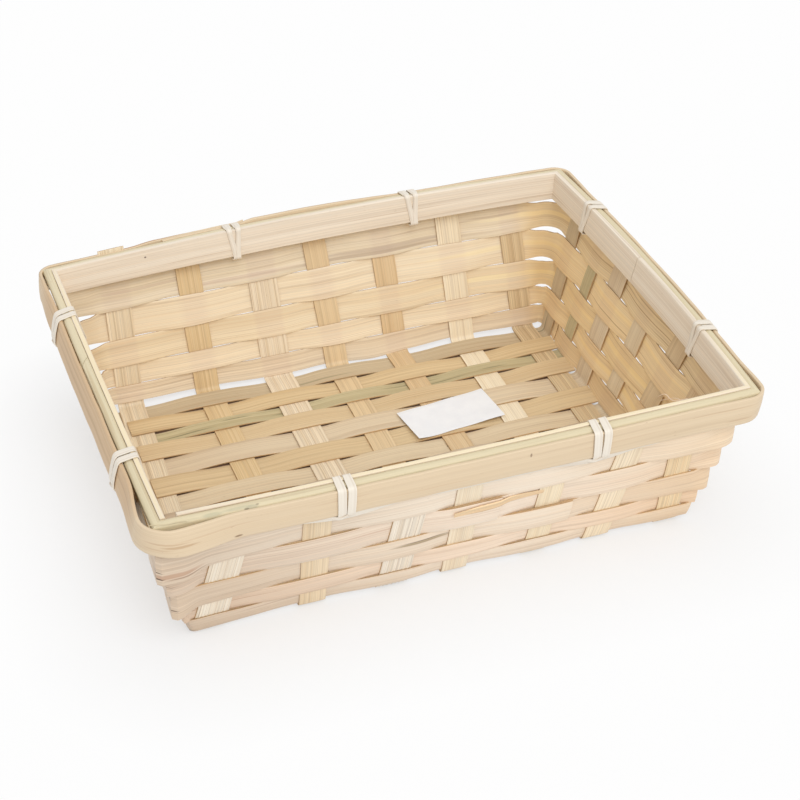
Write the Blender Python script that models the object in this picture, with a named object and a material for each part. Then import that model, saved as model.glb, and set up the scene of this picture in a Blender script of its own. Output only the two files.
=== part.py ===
"""A rectangular bamboo basket, plain woven from flat strips, with a lath rim bound by a flat lashing.

Metres, +Z up. The origin is on the ground under the middle of the basket. X runs along the long sides,
Y from the front to the back. The basket stands on the undersides of its long floor strips.
"""
from math import atan2, cos, hypot, pi, radians, sin, tan

import bmesh
import bpy
from mathutils import Vector
from mathutils.kdtree import KDTree

MM = 0.001

# Clear space between pieces that touch on the real basket.
CLEARANCE = 0.3 * MM

# The whole basket, measured on the middle line of the inner rim lath and on the middle of the woven wall.
RIDGE_LENGTH = 222.3 * MM
RIDGE_WIDTH = 174.3 * MM
FOOT_LENGTH = 198.0 * MM
FOOT_WIDTH = 147.6 * MM
HEIGHT = 67.5 * MM

# How much the rim leans outwards for each unit of its height.
RIM_LEAN = 0.214

# How the basket has settled: each rim side bows outwards, the foot is skewed and corners dip or lift.
BOW_FRONT = 1.0 * MM
BOW_BACK = 5.5 * MM
BOW_LEFT = 0.4 * MM
BOW_RIGHT = 3.2 * MM
FOOT_SKEW = 1.8 * MM
LIFT_FRONT_LEFT = -1.2 * MM
LIFT_BACK_LEFT = -2.6 * MM
LIFT_BACK_RIGHT = 1.7 * MM

# A point past this share of the half width belongs to a wall and bows fully with it.
WALL_SIDE_SHARE = 0.75

# Woven strips.
STRIP_THICKNESS = 0.7 * MM
BEND_RADIUS = 1.8 * MM
BEND_STEPS = 4
HOLD_MARGIN = 0.8 * MM
# Where a strip has its stations on its way from one side of the weave to the other.
CROSSING_SHARES = (0.3, 0.7)

# Cross strips run from front to back, listed from left to right, and stand up both long walls.
# Their places are shares of half the foot length at the foot and of half the ridge length at the rim.
CROSS_WIDTH = 10.5 * MM
CROSS_WIDTH_SHARES = (1.05, 1.00, 1.20, 0.96, 0.95, 1.04, 0.95)
CROSS_FRONT_RIM_SHARES = (-0.796, -0.515, -0.175, 0.007, 0.315, 0.585, 0.760)
CROSS_FRONT_FOOT_SHARES = (-0.922, -0.543, -0.230, 0.023, 0.352, 0.613, 0.920)
CROSS_BACK_FOOT_SHARES = (-0.898, -0.560, -0.241, 0.030, 0.311, 0.625, 0.917)
CROSS_BACK_RIM_SHARES = (-0.776, -0.497, -0.216, 0.003, 0.273, 0.550, 0.803)
PROUD_CROSS_STRIP = 0
PROUD_END = 2.6 * MM

# Long strips run from left to right, listed from back to front. Every other one stands up both short
# walls, and the ones between them only fill the floor. Their places are shares of the half widths.
LONG_WIDTH = 12.0 * MM
LONG_WIDTH_SHARES = (0.70, 0.85, 0.633, 0.90, 1.017, 1.033, 0.90, 1.00, 1.033, 1.017, 1.033, 1.017)
LONG_LEFT_FOOT_SHARES = (0.893, 0.760, 0.636, 0.507, 0.347, 0.176,
                         0.015, -0.144, -0.313, -0.484, -0.654, -0.827)
LONG_RIGHT_FOOT_SHARES = (0.902, 0.771, 0.650, 0.522, 0.362, 0.191,
                          0.030, -0.129, -0.299, -0.472, -0.644, -0.817)
STAKE_LEFT_RIM_SHARES = (0.792, 0.488, 0.287, 0.000, -0.310, -0.688)
STAKE_RIGHT_RIM_SHARES = (0.809, 0.528, 0.298, -0.017, -0.390, -0.666)
FILLER_LEFT_END = 5.4 * MM
FILLER_RIGHT_END = 0.9 * MM

# Side strips go round the walls, row by row, listed from the top. The edge shares start at the foot.
ROW_EDGE_SHARES = (0.0, 0.128, 0.297, 0.516, 0.764, 1.0)
ROW_GAP = 0.4 * MM
CORNER_RADIUS_TOP_ROW = 8.0 * MM
CORNER_RADIUS_FOOT_ROW = 1.6 * MM
CORNER_STEPS = 4
# A row stands upright round a corner, over its lower edge. The first share is how much of the way round
# a corner it takes to turn upright, the second how far up its lower edge the upright part is placed.
UPRIGHT_WAY_SHARE = 0.33
UPRIGHT_PLACE_SHARE = 0.2
LAP_LEAD = 6.0 * MM
LAP_SLOPE = 1.0 * MM
# The stake that each row's two ends lap over, counted round the basket from the front left corner.
ROW_LAP_STAKES = (6, 3, 4, 21, 12)

# Rim laths.
LATH_HEIGHT = 11.0 * MM
INNER_LATH_THICKNESS = 1.7 * MM
CORE_LATH_THICKNESS = 3.6 * MM
CORE_TOP_DROP = 0.5 * MM
CORE_SKIN_DROP = 1.8 * MM
CORE_SKIN_SHARE = 0.45
OUTER_LATH_THICKNESS = 1.2 * MM
OUTER_LATH_HEIGHT = 10.5 * MM
OUTER_LATH_DROP = 1.6 * MM
OUTER_LATH_STAND = 1.2 * MM
OUTER_CORNER_RADIUS = 7.9 * MM
OUTER_SWELL = 2.6 * MM
OUTER_SWELL_LENGTH = 24.0 * MM
OUTER_LAP_LENGTH = 34.0 * MM
STAKE_END_DROP = 1.9 * MM
CORE_JOINT_SLANT = 2.4 * MM
INNER_END_GAP = 1.8 * MM
RIM_STEPS = 8
SWELL_STEPS = 3

# Joints of the laths, as shares of half the ridge length or width on their side.
CORE_JOINT_SHARE = 0.20
INNER_JOINT_SHARE = 0.11
OUTER_LAP_SHARE = -0.252

# The lashing is one flat strip. It is wound twice round the rim at each of eight places.
LASH_WIDTH = 3.2 * MM
LASH_TWIST_WIDTH = 1.2 * MM
LASH_THICKNESS = 0.45 * MM
LASH_TURN_GAP = 0.6 * MM
LASH_TURNS = 2
TIE_FRONT_SHARES = (-0.425, 0.451)
TIE_RIGHT_SHARES = (-0.513, 0.633)
TIE_BACK_SHARES = (0.402, -0.309)
TIE_LEFT_SHARES = (0.606, -0.550)

LASH_TAIL = 3.0 * MM
LASH_WAIST_SHARE = 0.55

# Paper label on the floor.
LABEL_LENGTH = 40.0 * MM
LABEL_WIDTH = 20.4 * MM
LABEL_THICKNESS = 0.2 * MM
LABEL_PLACE_SHARES = (0.371, 0.276)
LABEL_TURN = radians(7.0)

# Levels and offsets that follow from the sizes above.
WEAVE_STEP = STRIP_THICKNESS + CLEARANCE
FLOOR_MIDDLE = WEAVE_STEP + STRIP_THICKNESS / 2
FLOOR_TOP = FLOOR_MIDDLE + WEAVE_STEP + STRIP_THICKNESS / 2
RIM_BOTTOM = HEIGHT - LATH_HEIGHT
STAKE_OFFSET = INNER_LATH_THICKNESS / 2 + CORE_LATH_THICKNESS + STRIP_THICKNESS / 2 + 2 * CLEARANCE
TOP_HALF_X = RIDGE_LENGTH / 2 + STAKE_OFFSET
TOP_HALF_Y = RIDGE_WIDTH / 2 + STAKE_OFFSET
CORE_OUTSIDE = -(STRIP_THICKNESS / 2 + CLEARANCE)
CORE_INSIDE = CORE_OUTSIDE - CORE_LATH_THICKNESS
INNER_OUTSIDE = CORE_INSIDE - CLEARANCE
INNER_INSIDE = INNER_OUTSIDE - INNER_LATH_THICKNESS
OUTER_INSIDE = STRIP_THICKNESS / 2 + CLEARANCE
OUTER_OUTSIDE = OUTER_INSIDE + OUTER_LATH_THICKNESS
OUTER_TOP = HEIGHT - OUTER_LATH_DROP
OUTER_BOTTOM = OUTER_TOP - OUTER_LATH_HEIGHT
OUTER_LAP_STEP = OUTER_LATH_THICKNESS + CLEARANCE
ROW_TOP = OUTER_BOTTOM - 2.5 * CLEARANCE - LASH_THICKNESS
LASH_PITCH = LASH_WIDTH + LASH_TURN_GAP
LASH_LOW = OUTER_BOTTOM - CLEARANCE - LASH_THICKNESS / 2
LASH_RUN_OFFSET = OUTER_INSIDE + OUTER_LATH_STAND + OUTER_LATH_THICKNESS / 2

# Colours, as linear red, green and blue, and roughnesses.
CROSS_COLOURS = ((0.72, 0.60, 0.40), (0.66, 0.49, 0.27), (0.74, 0.62, 0.42), (0.64, 0.46, 0.25),
                 (0.66, 0.50, 0.29), (0.74, 0.62, 0.43), (0.42, 0.32, 0.19))
LONG_COLOURS = ((0.50, 0.41, 0.29), (0.66, 0.50, 0.27), (0.50, 0.45, 0.29), (0.62, 0.46, 0.27),
                (0.60, 0.49, 0.38), (0.62, 0.46, 0.27), (0.68, 0.56, 0.38), (0.56, 0.47, 0.34),
                (0.66, 0.52, 0.33), (0.62, 0.47, 0.28), (0.60, 0.46, 0.28), (0.64, 0.50, 0.31))
SIDE_COLOURS = ((0.80, 0.64, 0.48), (0.80, 0.62, 0.46), (0.76, 0.61, 0.42), (0.78, 0.62, 0.46),
                (0.78, 0.62, 0.50))
CORE_COLOUR = (0.62, 0.56, 0.36)
INNER_COLOUR = (0.74, 0.62, 0.42)
OUTER_COLOUR = (0.74, 0.55, 0.35)
LASHING_COLOUR = (0.78, 0.74, 0.66)
LABEL_COLOUR = (0.80, 0.80, 0.80)
STRIP_ROUGHNESS = 0.6
LATH_ROUGHNESS = 0.5
LASHING_ROUGHNESS = 0.5
LABEL_ROUGHNESS = 0.5

FRONT, RIGHT, BACK, LEFT = range(4)


def half_x(z):
    """Half the length of the wall's middle surface at height z."""
    return wall_half(TOP_HALF_X, FOOT_LENGTH / 2, z)


def half_y(z):
    """Half the width of the wall's middle surface at height z."""
    return wall_half(TOP_HALF_Y, FOOT_WIDTH / 2, z)


def wall_half(top_half, foot_half, z):
    if z >= RIM_BOTTOM:
        return top_half - RIM_LEAN * (HEIGHT - z)
    knee = top_half - RIM_LEAN * LATH_HEIGHT
    return foot_half + (knee - foot_half) * z / RIM_BOTTOM


def between(low, high, value):
    return max(low, min(high, value))


def mix(a, b, share):
    return a + (b - a) * share


def ease(share):
    return share * share * (3 - 2 * share)


def settle(point):
    """Bow, skew and lift a point of the evenly built basket to where the real one has settled."""
    x, y, z = point
    u = between(-1, 1, x / TOP_HALF_X)
    v = between(-1, 1, y / TOP_HALF_Y)
    side_u = between(-1, 1, u / WALL_SIDE_SHARE)
    side_v = between(-1, 1, v / WALL_SIDE_SHARE)
    rise = max(0, (z - FLOOR_TOP) / (HEIGHT - FLOOR_TOP))
    bow_x = BOW_RIGHT if x > 0 else BOW_LEFT
    bow_y = BOW_BACK if y > 0 else BOW_FRONT
    lift = (LIFT_BACK_LEFT * (1 - u) * (1 + v) + LIFT_FRONT_LEFT * (1 - u) * (1 - v)
            + LIFT_BACK_RIGHT * (1 + u) * (1 + v)) / 4
    settled_x = x + bow_x * rise * (1 - v * v) * side_u + FOOT_SKEW * v * (1 - z / HEIGHT)
    settled_y = y + bow_y * rise * (1 - u * u) * side_v
    return Vector((settled_x, settled_y, z + lift * rise))


def side_point(side, along, offset, z):
    """A point on one wall. The distance along a side grows anticlockwise, seen from above."""
    if side == FRONT:
        return (along, -half_y(z) - offset, z)
    if side == RIGHT:
        return (half_x(z) + offset, along, z)
    if side == BACK:
        return (-along, half_y(z) + offset, z)
    return (-half_x(z) - offset, -along, z)


def corner_point(corner, offset, z):
    """The sharp corner at the end of a side, for a path that keeps the same offset on both sides."""
    across = half_x(z) + offset if corner in (FRONT, BACK) else half_y(z) + offset
    return side_point(corner, across, offset, z)


def arc_point(corner, radius, turn, offset, z):
    """A point on the round corner at the end of a side. The turn runs from 0 to 1 round the corner."""
    centre_x = half_x(z) - radius
    centre_y = half_y(z) - radius
    sign_x = 1 if corner in (FRONT, RIGHT) else -1
    sign_y = 1 if corner in (RIGHT, BACK) else -1
    angle = (corner - 1 + turn) * pi / 2
    reach = radius + offset
    return (sign_x * centre_x + reach * cos(angle), sign_y * centre_y + reach * sin(angle), z)


def add_body(name, sections, colour, roughness, closed=False):
    """Join equal sections of points into one closed skin, with flat caps at the ends of an open strip."""
    mesh = bpy.data.meshes.new(name)
    shell = bmesh.new()
    rings = [[shell.verts.new(point) for point in section] for section in sections]
    count = len(rings[0])
    spans = len(rings) if closed else len(rings) - 1
    for index in range(spans):
        ring, following = rings[index], rings[(index + 1) % len(rings)]
        for corner in range(count):
            beyond = (corner + 1) % count
            shell.faces.new((ring[corner], ring[beyond], following[beyond], following[corner]))
    if not closed:
        shell.faces.new(rings[0])
        shell.faces.new(rings[-1])
    bmesh.ops.recalc_face_normals(shell, faces=shell.faces)
    shell.to_mesh(mesh)
    shell.free()
    mesh.materials.append(make_material(name, colour, roughness))
    body = bpy.data.objects.new(name, mesh)
    bpy.context.scene.collection.objects.link(body)
    return body


def make_material(name, colour, roughness):
    material = bpy.data.materials.new(name + "_finish")
    material.use_nodes = True
    shader = material.node_tree.nodes["Principled BSDF"]
    shader.inputs["Base Color"].default_value = (*colour, 1)
    shader.inputs["Roughness"].default_value = roughness
    shader.inputs["Metallic"].default_value = 0
    return material


def ring_sections(stations, profile):
    """Sections of a piece round the basket. A station turns an offset and a height into a point."""
    return [[settle(station(offset, z)) for offset, z in profile] for station in stations]


def strip_sections(path, width):
    """Sections of a flat strip. The path gives its middle, its side direction and its outward normal."""
    sections = []
    for middle, sideways, outward in path:
        side = Vector(sideways) * width / 2
        face = Vector(outward) * STRIP_THICKNESS / 2
        centre = Vector(middle)
        corners = (centre - side - face, centre + side - face, centre + side + face, centre - side + face)
        sections.append([settle(corner) for corner in corners])
    return sections


def bend(reach_at, level):
    """Points and outward normals where a strip turns up from the floor into a wall that leans outwards."""
    reach = reach_at(level)
    lean = (reach_at(RIM_BOTTOM) - reach) / (RIM_BOTTOM - level)
    turn = atan2(1, lean)
    start = reach - BEND_RADIUS * tan(turn / 2)
    points = []
    for step in range(BEND_STEPS + 1):
        angle = turn * step / BEND_STEPS
        out = start + BEND_RADIUS * sin(angle)
        up = level + BEND_RADIUS * (1 - cos(angle))
        points.append((out, up, sin(angle), -cos(angle)))
    return points


def bend_top(level):
    """The height at which the foot bend of either kind of strip has run out into the wall."""
    return max(bend(half_x, level)[-1][1], bend(half_y, level)[-1][1])


def stake_rise(reach_at, level, top):
    """The bend and the wall above it, up to a stake's end: out, up and the outward normal."""
    points = bend(reach_at, level)
    for height in (RIM_BOTTOM, top):
        wall_lean = (reach_at(RIM_BOTTOM) - reach_at(level)) / (RIM_BOTTOM - level)
        lean = RIM_LEAN if height > RIM_BOTTOM else wall_lean
        length = hypot(1, lean)
        points.append((reach_at(height), height, 1 / length, -lean / length))
    return points


def cross_width(index):
    return CROSS_WIDTH * CROSS_WIDTH_SHARES[index]


def long_width(index):
    return LONG_WIDTH * LONG_WIDTH_SHARES[index]


def cross_stake_x(index, side, z):
    """The middle of a cross strip on the front or back wall at height z."""
    foot = CROSS_FRONT_FOOT_SHARES if side == FRONT else CROSS_BACK_FOOT_SHARES
    rim = CROSS_FRONT_RIM_SHARES if side == FRONT else CROSS_BACK_RIM_SHARES
    return mix(foot[index] * FOOT_LENGTH / 2, rim[index] * RIDGE_LENGTH / 2, z / HEIGHT)


def cross_floor_x(index, y):
    """The middle of a cross strip on the floor."""
    share = (y + FOOT_WIDTH / 2) / FOOT_WIDTH
    return mix(cross_stake_x(index, FRONT, 0), cross_stake_x(index, BACK, 0), share)


def long_stake_y(stake, side, z):
    """The middle of a standing long strip on the left or right wall at height z."""
    foot = LONG_LEFT_FOOT_SHARES if side == LEFT else LONG_RIGHT_FOOT_SHARES
    rim = STAKE_LEFT_RIM_SHARES if side == LEFT else STAKE_RIGHT_RIM_SHARES
    return mix(foot[2 * stake] * FOOT_WIDTH / 2, rim[stake] * RIDGE_WIDTH / 2, z / HEIGHT)


def long_floor_y(index, x):
    """The middle of a long strip on the floor."""
    share = (x + FOOT_LENGTH / 2) / FOOT_LENGTH
    return mix(LONG_LEFT_FOOT_SHARES[index], LONG_RIGHT_FOOT_SHARES[index], share) * FOOT_WIDTH / 2


def make_cross_strip(index):
    top_back = HEIGHT + PROUD_END if index == PROUD_CROSS_STRIP else HEIGHT - STAKE_END_DROP
    front = stake_rise(half_y, FLOOR_MIDDLE, HEIGHT - STAKE_END_DROP)
    path = []
    for out, up, normal_out, normal_up in reversed(front):
        x = cross_stake_x(index, FRONT, up)
        path.append(((x, -out, up), (1, 0, 0), (0, -normal_out, normal_up)))
    for out, up, normal_out, normal_up in stake_rise(half_y, FLOOR_MIDDLE, top_back):
        x = cross_stake_x(index, BACK, up)
        path.append(((x, out, up), (1, 0, 0), (0, normal_out, normal_up)))
    return strip_sections(path, cross_width(index))


def floor_wave(index):
    """The course of a long strip over and under the cross strips: along the floor and up."""
    course = []
    for cross in range(len(CROSS_WIDTH_SHARES)):
        y = long_floor_y(index, cross_floor_x(cross, 0))
        middle = cross_floor_x(cross, y)
        reach = cross_width(cross) / 2 + HOLD_MARGIN
        over = (index + cross) % 2 == 1
        level = FLOOR_MIDDLE + (WEAVE_STEP if over else -WEAVE_STEP)
        if course:
            start, height = course[-1]
            for share in CROSSING_SHARES:
                course.append((mix(start, middle - reach, share), mix(height, level, ease(share))))
        course.append((middle - reach, level))
        course.append((middle + reach, level))
    return course


def make_long_strip(index):
    stands = index % 2 == 0
    course = floor_wave(index)
    path = []
    if stands:
        course = course[1:-1]
        low = FLOOR_MIDDLE - WEAVE_STEP
        rise = stake_rise(half_x, low, HEIGHT - STAKE_END_DROP)
        for out, up, normal_out, normal_up in reversed(rise):
            y = long_stake_y(index // 2, LEFT, up)
            path.append(((-out, y, up), (0, 1, 0), (-normal_out, 0, normal_up)))
    else:
        course[0] = (-half_x(FLOOR_TOP) + FILLER_LEFT_END, course[0][1])
        course[-1] = (half_x(FLOOR_TOP) - FILLER_RIGHT_END, course[-1][1])
    for x, z in course:
        path.append(((x, long_floor_y(index, x), z), (0, 1, 0), (0, 0, -1)))
    if stands:
        for out, up, normal_out, normal_up in rise:
            y = long_stake_y(index // 2, RIGHT, up)
            path.append(((out, y, up), (0, 1, 0), (normal_out, 0, normal_up)))
    return strip_sections(path, long_width(index))


def stakes_round():
    """Every stake from the front left corner anticlockwise: its side, its place and its half width."""
    crosses = range(len(CROSS_WIDTH_SHARES))
    standing = range(len(STAKE_LEFT_RIM_SHARES))
    stakes = []
    for index in crosses:
        stakes.append((FRONT, lambda z, i=index: cross_stake_x(i, FRONT, z), cross_width(index) / 2))
    for stake in reversed(standing):
        stakes.append((RIGHT, lambda z, i=stake: long_stake_y(i, RIGHT, z), long_width(2 * stake) / 2))
    for index in reversed(crosses):
        stakes.append((BACK, lambda z, i=index: -cross_stake_x(i, BACK, z), cross_width(index) / 2))
    for stake in standing:
        stakes.append((LEFT, lambda z, i=stake: -long_stake_y(i, LEFT, z), long_width(2 * stake) / 2))
    return stakes


def wall_station(side, place, level):
    """A station of a side strip on a straight wall. Its place along the wall may change with the height."""
    return lambda offset, z: side_point(side, place(z), level + offset, z)


def corner_stations(corner, radius, start, level, end, end_level, low, high):
    """Stations round a corner, easing from one level to another and standing upright on the way."""
    middle = (low + high) / 2
    foot = mix(low, high, UPRIGHT_PLACE_SHARE)
    side_length = half_x(middle) if corner in (FRONT, BACK) else half_y(middle)
    next_length = half_y(middle) if corner in (FRONT, BACK) else half_x(middle)
    first = side_length - radius - start(middle)
    arc = radius * pi / 2
    total = first + arc + next_length - radius + end(middle)
    stations = []
    for step in range(CORNER_STEPS + 1):
        turn = step / CORNER_STEPS
        way = (first + arc * turn) / total
        level_here = mix(level, end_level, ease(way))
        upright = ease(between(0, 1, min(way, 1 - way) / UPRIGHT_WAY_SHARE))
        stations.append(upright_station(corner, radius, turn, level_here, upright, foot))
    return stations


def upright_station(corner, radius, turn, level, upright, foot):
    """A station of a corner. Its place is taken at the height of the row's foot as far as it is upright."""
    def station(offset, z):
        x, y, _ = arc_point(corner, radius, turn, level + offset, mix(z, foot, upright))
        return x, y, z
    return station


def make_side_strip(row):
    """One side strip: woven inside and outside the stakes in turn, its two ends lapped over one stake."""
    rows = len(ROW_EDGE_SHARES) - 1
    bottom_row = max(FLOOR_TOP, bend_top(FLOOR_MIDDLE)) + 2 * CLEARANCE
    low = mix(bottom_row, ROW_TOP, ROW_EDGE_SHARES[rows - 1 - row])
    high = mix(bottom_row, ROW_TOP, ROW_EDGE_SHARES[rows - row])
    low += ROW_GAP / 2 if row < rows - 1 else 0
    high -= ROW_GAP / 2 if row > 0 else 0
    radius = mix(CORNER_RADIUS_FOOT_ROW, CORNER_RADIUS_TOP_ROW, (1 - row / (rows - 1)) ** 2)
    stakes = stakes_round()
    total = len(stakes)
    lap = ROW_LAP_STAKES[row]
    stations = []
    for turn in range(total + 1):
        index = (lap + turn) % total
        side, place, half = stakes[index]
        level = WEAVE_STEP if (index + row) % 2 == 0 else -WEAVE_STEP
        reach = half + HOLD_MARGIN
        lead_in = LAP_LEAD if turn == 0 else 0
        lead_out = 0
        if turn == total:
            level += WEAVE_STEP
            lead_in = LAP_LEAD + LAP_SLOPE
            lead_out = LAP_LEAD
        enter = lambda z, p=place, r=reach + lead_in: p(z) - r
        leave = lambda z, p=place, r=reach + lead_out: p(z) + r
        if stations:
            if side == last_side:
                stations += way_between(side, last_leave, last_level, enter, level)
            else:
                stations += corner_stations(last_side, radius, last_leave, last_level, enter, level,
                                            low, high)
        stations.append(wall_station(side, enter, level))
        stations.append(wall_station(side, leave, level))
        last_side, last_leave, last_level = side, leave, level
    half_strip = STRIP_THICKNESS / 2
    profile = ((-half_strip, low), (half_strip, low), (half_strip, high), (-half_strip, high))
    return ring_sections(stations, profile)


def way_between(side, leave, level, enter, next_level):
    """Stations between two stakes of one wall."""
    stations = []
    for share in CROSSING_SHARES:
        place = lambda z, s=share: mix(leave(z), enter(z), s)
        stations.append(wall_station(side, place, mix(level, next_level, ease(share))))
    return stations


def lath_station(side, along, slant=0):
    """A station of a rim lath. A slanted station lies further along on the outside than on the inside."""
    depth = CORE_LATH_THICKNESS / 2
    middle = (CORE_INSIDE + CORE_OUTSIDE) / 2
    return lambda offset, z: side_point(side, along + slant * (offset - middle) / depth, offset, z)


def lath_corner(corner):
    return lambda offset, z: corner_point(corner, offset, z)


def side_half(side):
    return TOP_HALF_X if side in (FRONT, BACK) else TOP_HALF_Y


def ridge_half(side):
    return RIDGE_LENGTH / 2 if side in (FRONT, BACK) else RIDGE_WIDTH / 2


def lath_run(start_side, start, end_side, end, slant=0):
    """Stations of a mitred lath from one place to another, anticlockwise."""
    stations = [lath_station(start_side, start, slant)]
    sides = 4 if start_side == end_side and end < start else (end_side - start_side) % 4
    for count in range(sides + 1):
        side = (start_side + count) % 4
        first = start if count == 0 else -side_half(side)
        last = end if count == sides else side_half(side)
        for step in range(1, RIM_STEPS):
            along = side_half(side) * (2 * step / RIM_STEPS - 1)
            if first + 2 * CORE_JOINT_SLANT < along < last - 2 * CORE_JOINT_SLANT:
                stations.append(lath_station(side, along))
        if count < sides:
            stations.append(lath_corner(side))
    stations.append(lath_station(end_side, end, slant))
    return stations


def make_core_lath():
    joint = -CORE_JOINT_SHARE * RIDGE_WIDTH / 2
    stations = lath_run(LEFT, joint + CLEARANCE, LEFT, joint, CORE_JOINT_SLANT)
    skin = mix(CORE_OUTSIDE, CORE_INSIDE, CORE_SKIN_SHARE)
    top = HEIGHT - CORE_TOP_DROP
    profile = ((CORE_INSIDE, RIM_BOTTOM), (CORE_OUTSIDE, RIM_BOTTOM), (CORE_OUTSIDE, HEIGHT - CORE_SKIN_DROP),
               (skin, top), (CORE_INSIDE, top))
    return ring_sections(stations, profile)


def inner_lath_profile():
    return ((INNER_INSIDE, RIM_BOTTOM), (INNER_OUTSIDE, RIM_BOTTOM), (INNER_OUTSIDE, HEIGHT),
            (INNER_INSIDE, HEIGHT))


def make_inner_lath_front():
    """From a free end at the front left corner along the front, up to the joint on the right side."""
    joint = INNER_JOINT_SHARE * RIDGE_WIDTH / 2
    start = -(TOP_HALF_X + INNER_INSIDE - RIM_LEAN * LATH_HEIGHT) + INNER_END_GAP
    stations = lath_run(FRONT, start, RIGHT, joint - CLEARANCE / 2)
    return ring_sections(stations, inner_lath_profile())


def make_inner_lath_back():
    """From the joint on the right side round the back and down the left side to the front left corner."""
    joint = INNER_JOINT_SHARE * RIDGE_WIDTH / 2
    stations = lath_run(RIGHT, joint + CLEARANCE / 2, LEFT, 0)
    stations[-1] = lambda offset, z: side_point(LEFT, half_y(z) + INNER_OUTSIDE, offset, z)
    return ring_sections(stations, inner_lath_profile())


def swell(side, along):
    """How far the outer lath stands off near a corner, so that its round corner clears the sharp ones."""
    from_corner = side_half(side) - OUTER_CORNER_RADIUS - abs(along)
    return OUTER_SWELL * ease(between(0, 1, 1 - from_corner / OUTER_SWELL_LENGTH))


def outer_station(side, along, extra=0):
    stand = OUTER_LATH_STAND / OUTER_LATH_HEIGHT
    out = extra + swell(side, along)
    return lambda offset, z: side_point(side, along, offset + out + stand * (OUTER_TOP - z), z)


def outer_corner(corner, turn):
    stand = OUTER_LATH_STAND / OUTER_LATH_HEIGHT
    return lambda offset, z: arc_point(corner, OUTER_CORNER_RADIUS, turn,
                                       offset + OUTER_SWELL + stand * (OUTER_TOP - z), z)


def outer_side_places(side):
    """Places along one side where the outer lath has a station: close together where it swells."""
    straight = side_half(side) - OUTER_CORNER_RADIUS
    near = [straight - OUTER_SWELL_LENGTH * step / SWELL_STEPS for step in range(SWELL_STEPS + 1)]
    inner = near[-1]
    middle = [inner * (2 * step / RIM_STEPS - 1) for step in range(1, RIM_STEPS)]
    return [-place for place in near] + middle + near[::-1]


def outer_lap():
    """Where the outer lath's upper layer starts on the back, and where its lower layer ends."""
    start = -OUTER_LAP_SHARE * RIDGE_LENGTH / 2
    return start, start + OUTER_LAP_LENGTH


def make_outer_lath():
    """The thin outer lath. Its first end starts outside on the back, its last end lies under it."""
    lap_start, lap_end = outer_lap()
    clear = lap_end + 2 * OUTER_LATH_THICKNESS
    joined = clear + OUTER_LAP_LENGTH / 4
    places = outer_side_places(BACK)
    lapped = [lap_start] + [place for place in places if lap_start < place < clear] + [clear]
    stations = [outer_station(BACK, place, OUTER_LAP_STEP) for place in lapped]
    stations += [outer_station(BACK, joined)]
    stations += [outer_station(BACK, place) for place in places if place > joined]
    for side in (LEFT, FRONT, RIGHT, BACK):
        corner = (side - 1) % 4
        stations += [outer_corner(corner, step / CORNER_STEPS) for step in range(1, CORNER_STEPS)]
        places = outer_side_places(side)
        if side == BACK:
            places = [place for place in places if place < lap_end] + [lap_end]
        stations += [outer_station(side, place) for place in places]
    profile = ((OUTER_INSIDE, OUTER_BOTTOM), (OUTER_OUTSIDE, OUTER_BOTTOM), (OUTER_OUTSIDE, OUTER_TOP),
               (OUTER_INSIDE, OUTER_TOP))
    return ring_sections(stations, profile)


def lash_reach(side, along, z):
    """The middle of the lashing where it lies on the outside of the outer lath."""
    lap_start, lap_end = outer_lap()
    lapped = side == BACK and lap_start < along < lap_end
    stand = OUTER_LATH_STAND * (OUTER_TOP - z) / OUTER_LATH_HEIGHT
    under = OUTER_OUTSIDE + stand + swell(side, along) + (OUTER_LAP_STEP if lapped else 0)
    return under + CLEARANCE + LASH_THICKNESS / 2


def lash_section(side, along, offset, z, wide, thick):
    """One section of the lashing on a side. Wide and thick give its two half sizes: along, out and up."""
    corners = []
    for across, through in ((-1, -1), (1, -1), (1, 1), (-1, 1)):
        step = [across * wide[axis] + through * thick[axis] for axis in range(3)]
        corners.append(settle(side_point(side, along + step[0], offset + step[1], z + step[2])))
    return corners


def lash_run_section(point):
    """One section of the stretch that runs along under the outer lath."""
    half = LASH_TWIST_WIDTH / 2
    thick = LASH_THICKNESS / 2
    corners = ((-half, thick), (half, thick), (half, -thick), (-half, -thick))
    return [settle(point(LASH_RUN_OFFSET + offset, LASH_LOW + up)) for offset, up in corners]


def lash_side_point(side, along):
    return lambda offset, z: side_point(side, along, offset + swell(side, along), z)


def lash_corner_point(corner, turn):
    return lambda offset, z: arc_point(corner, OUTER_CORNER_RADIUS, turn, offset + OUTER_SWELL, z)


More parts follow.
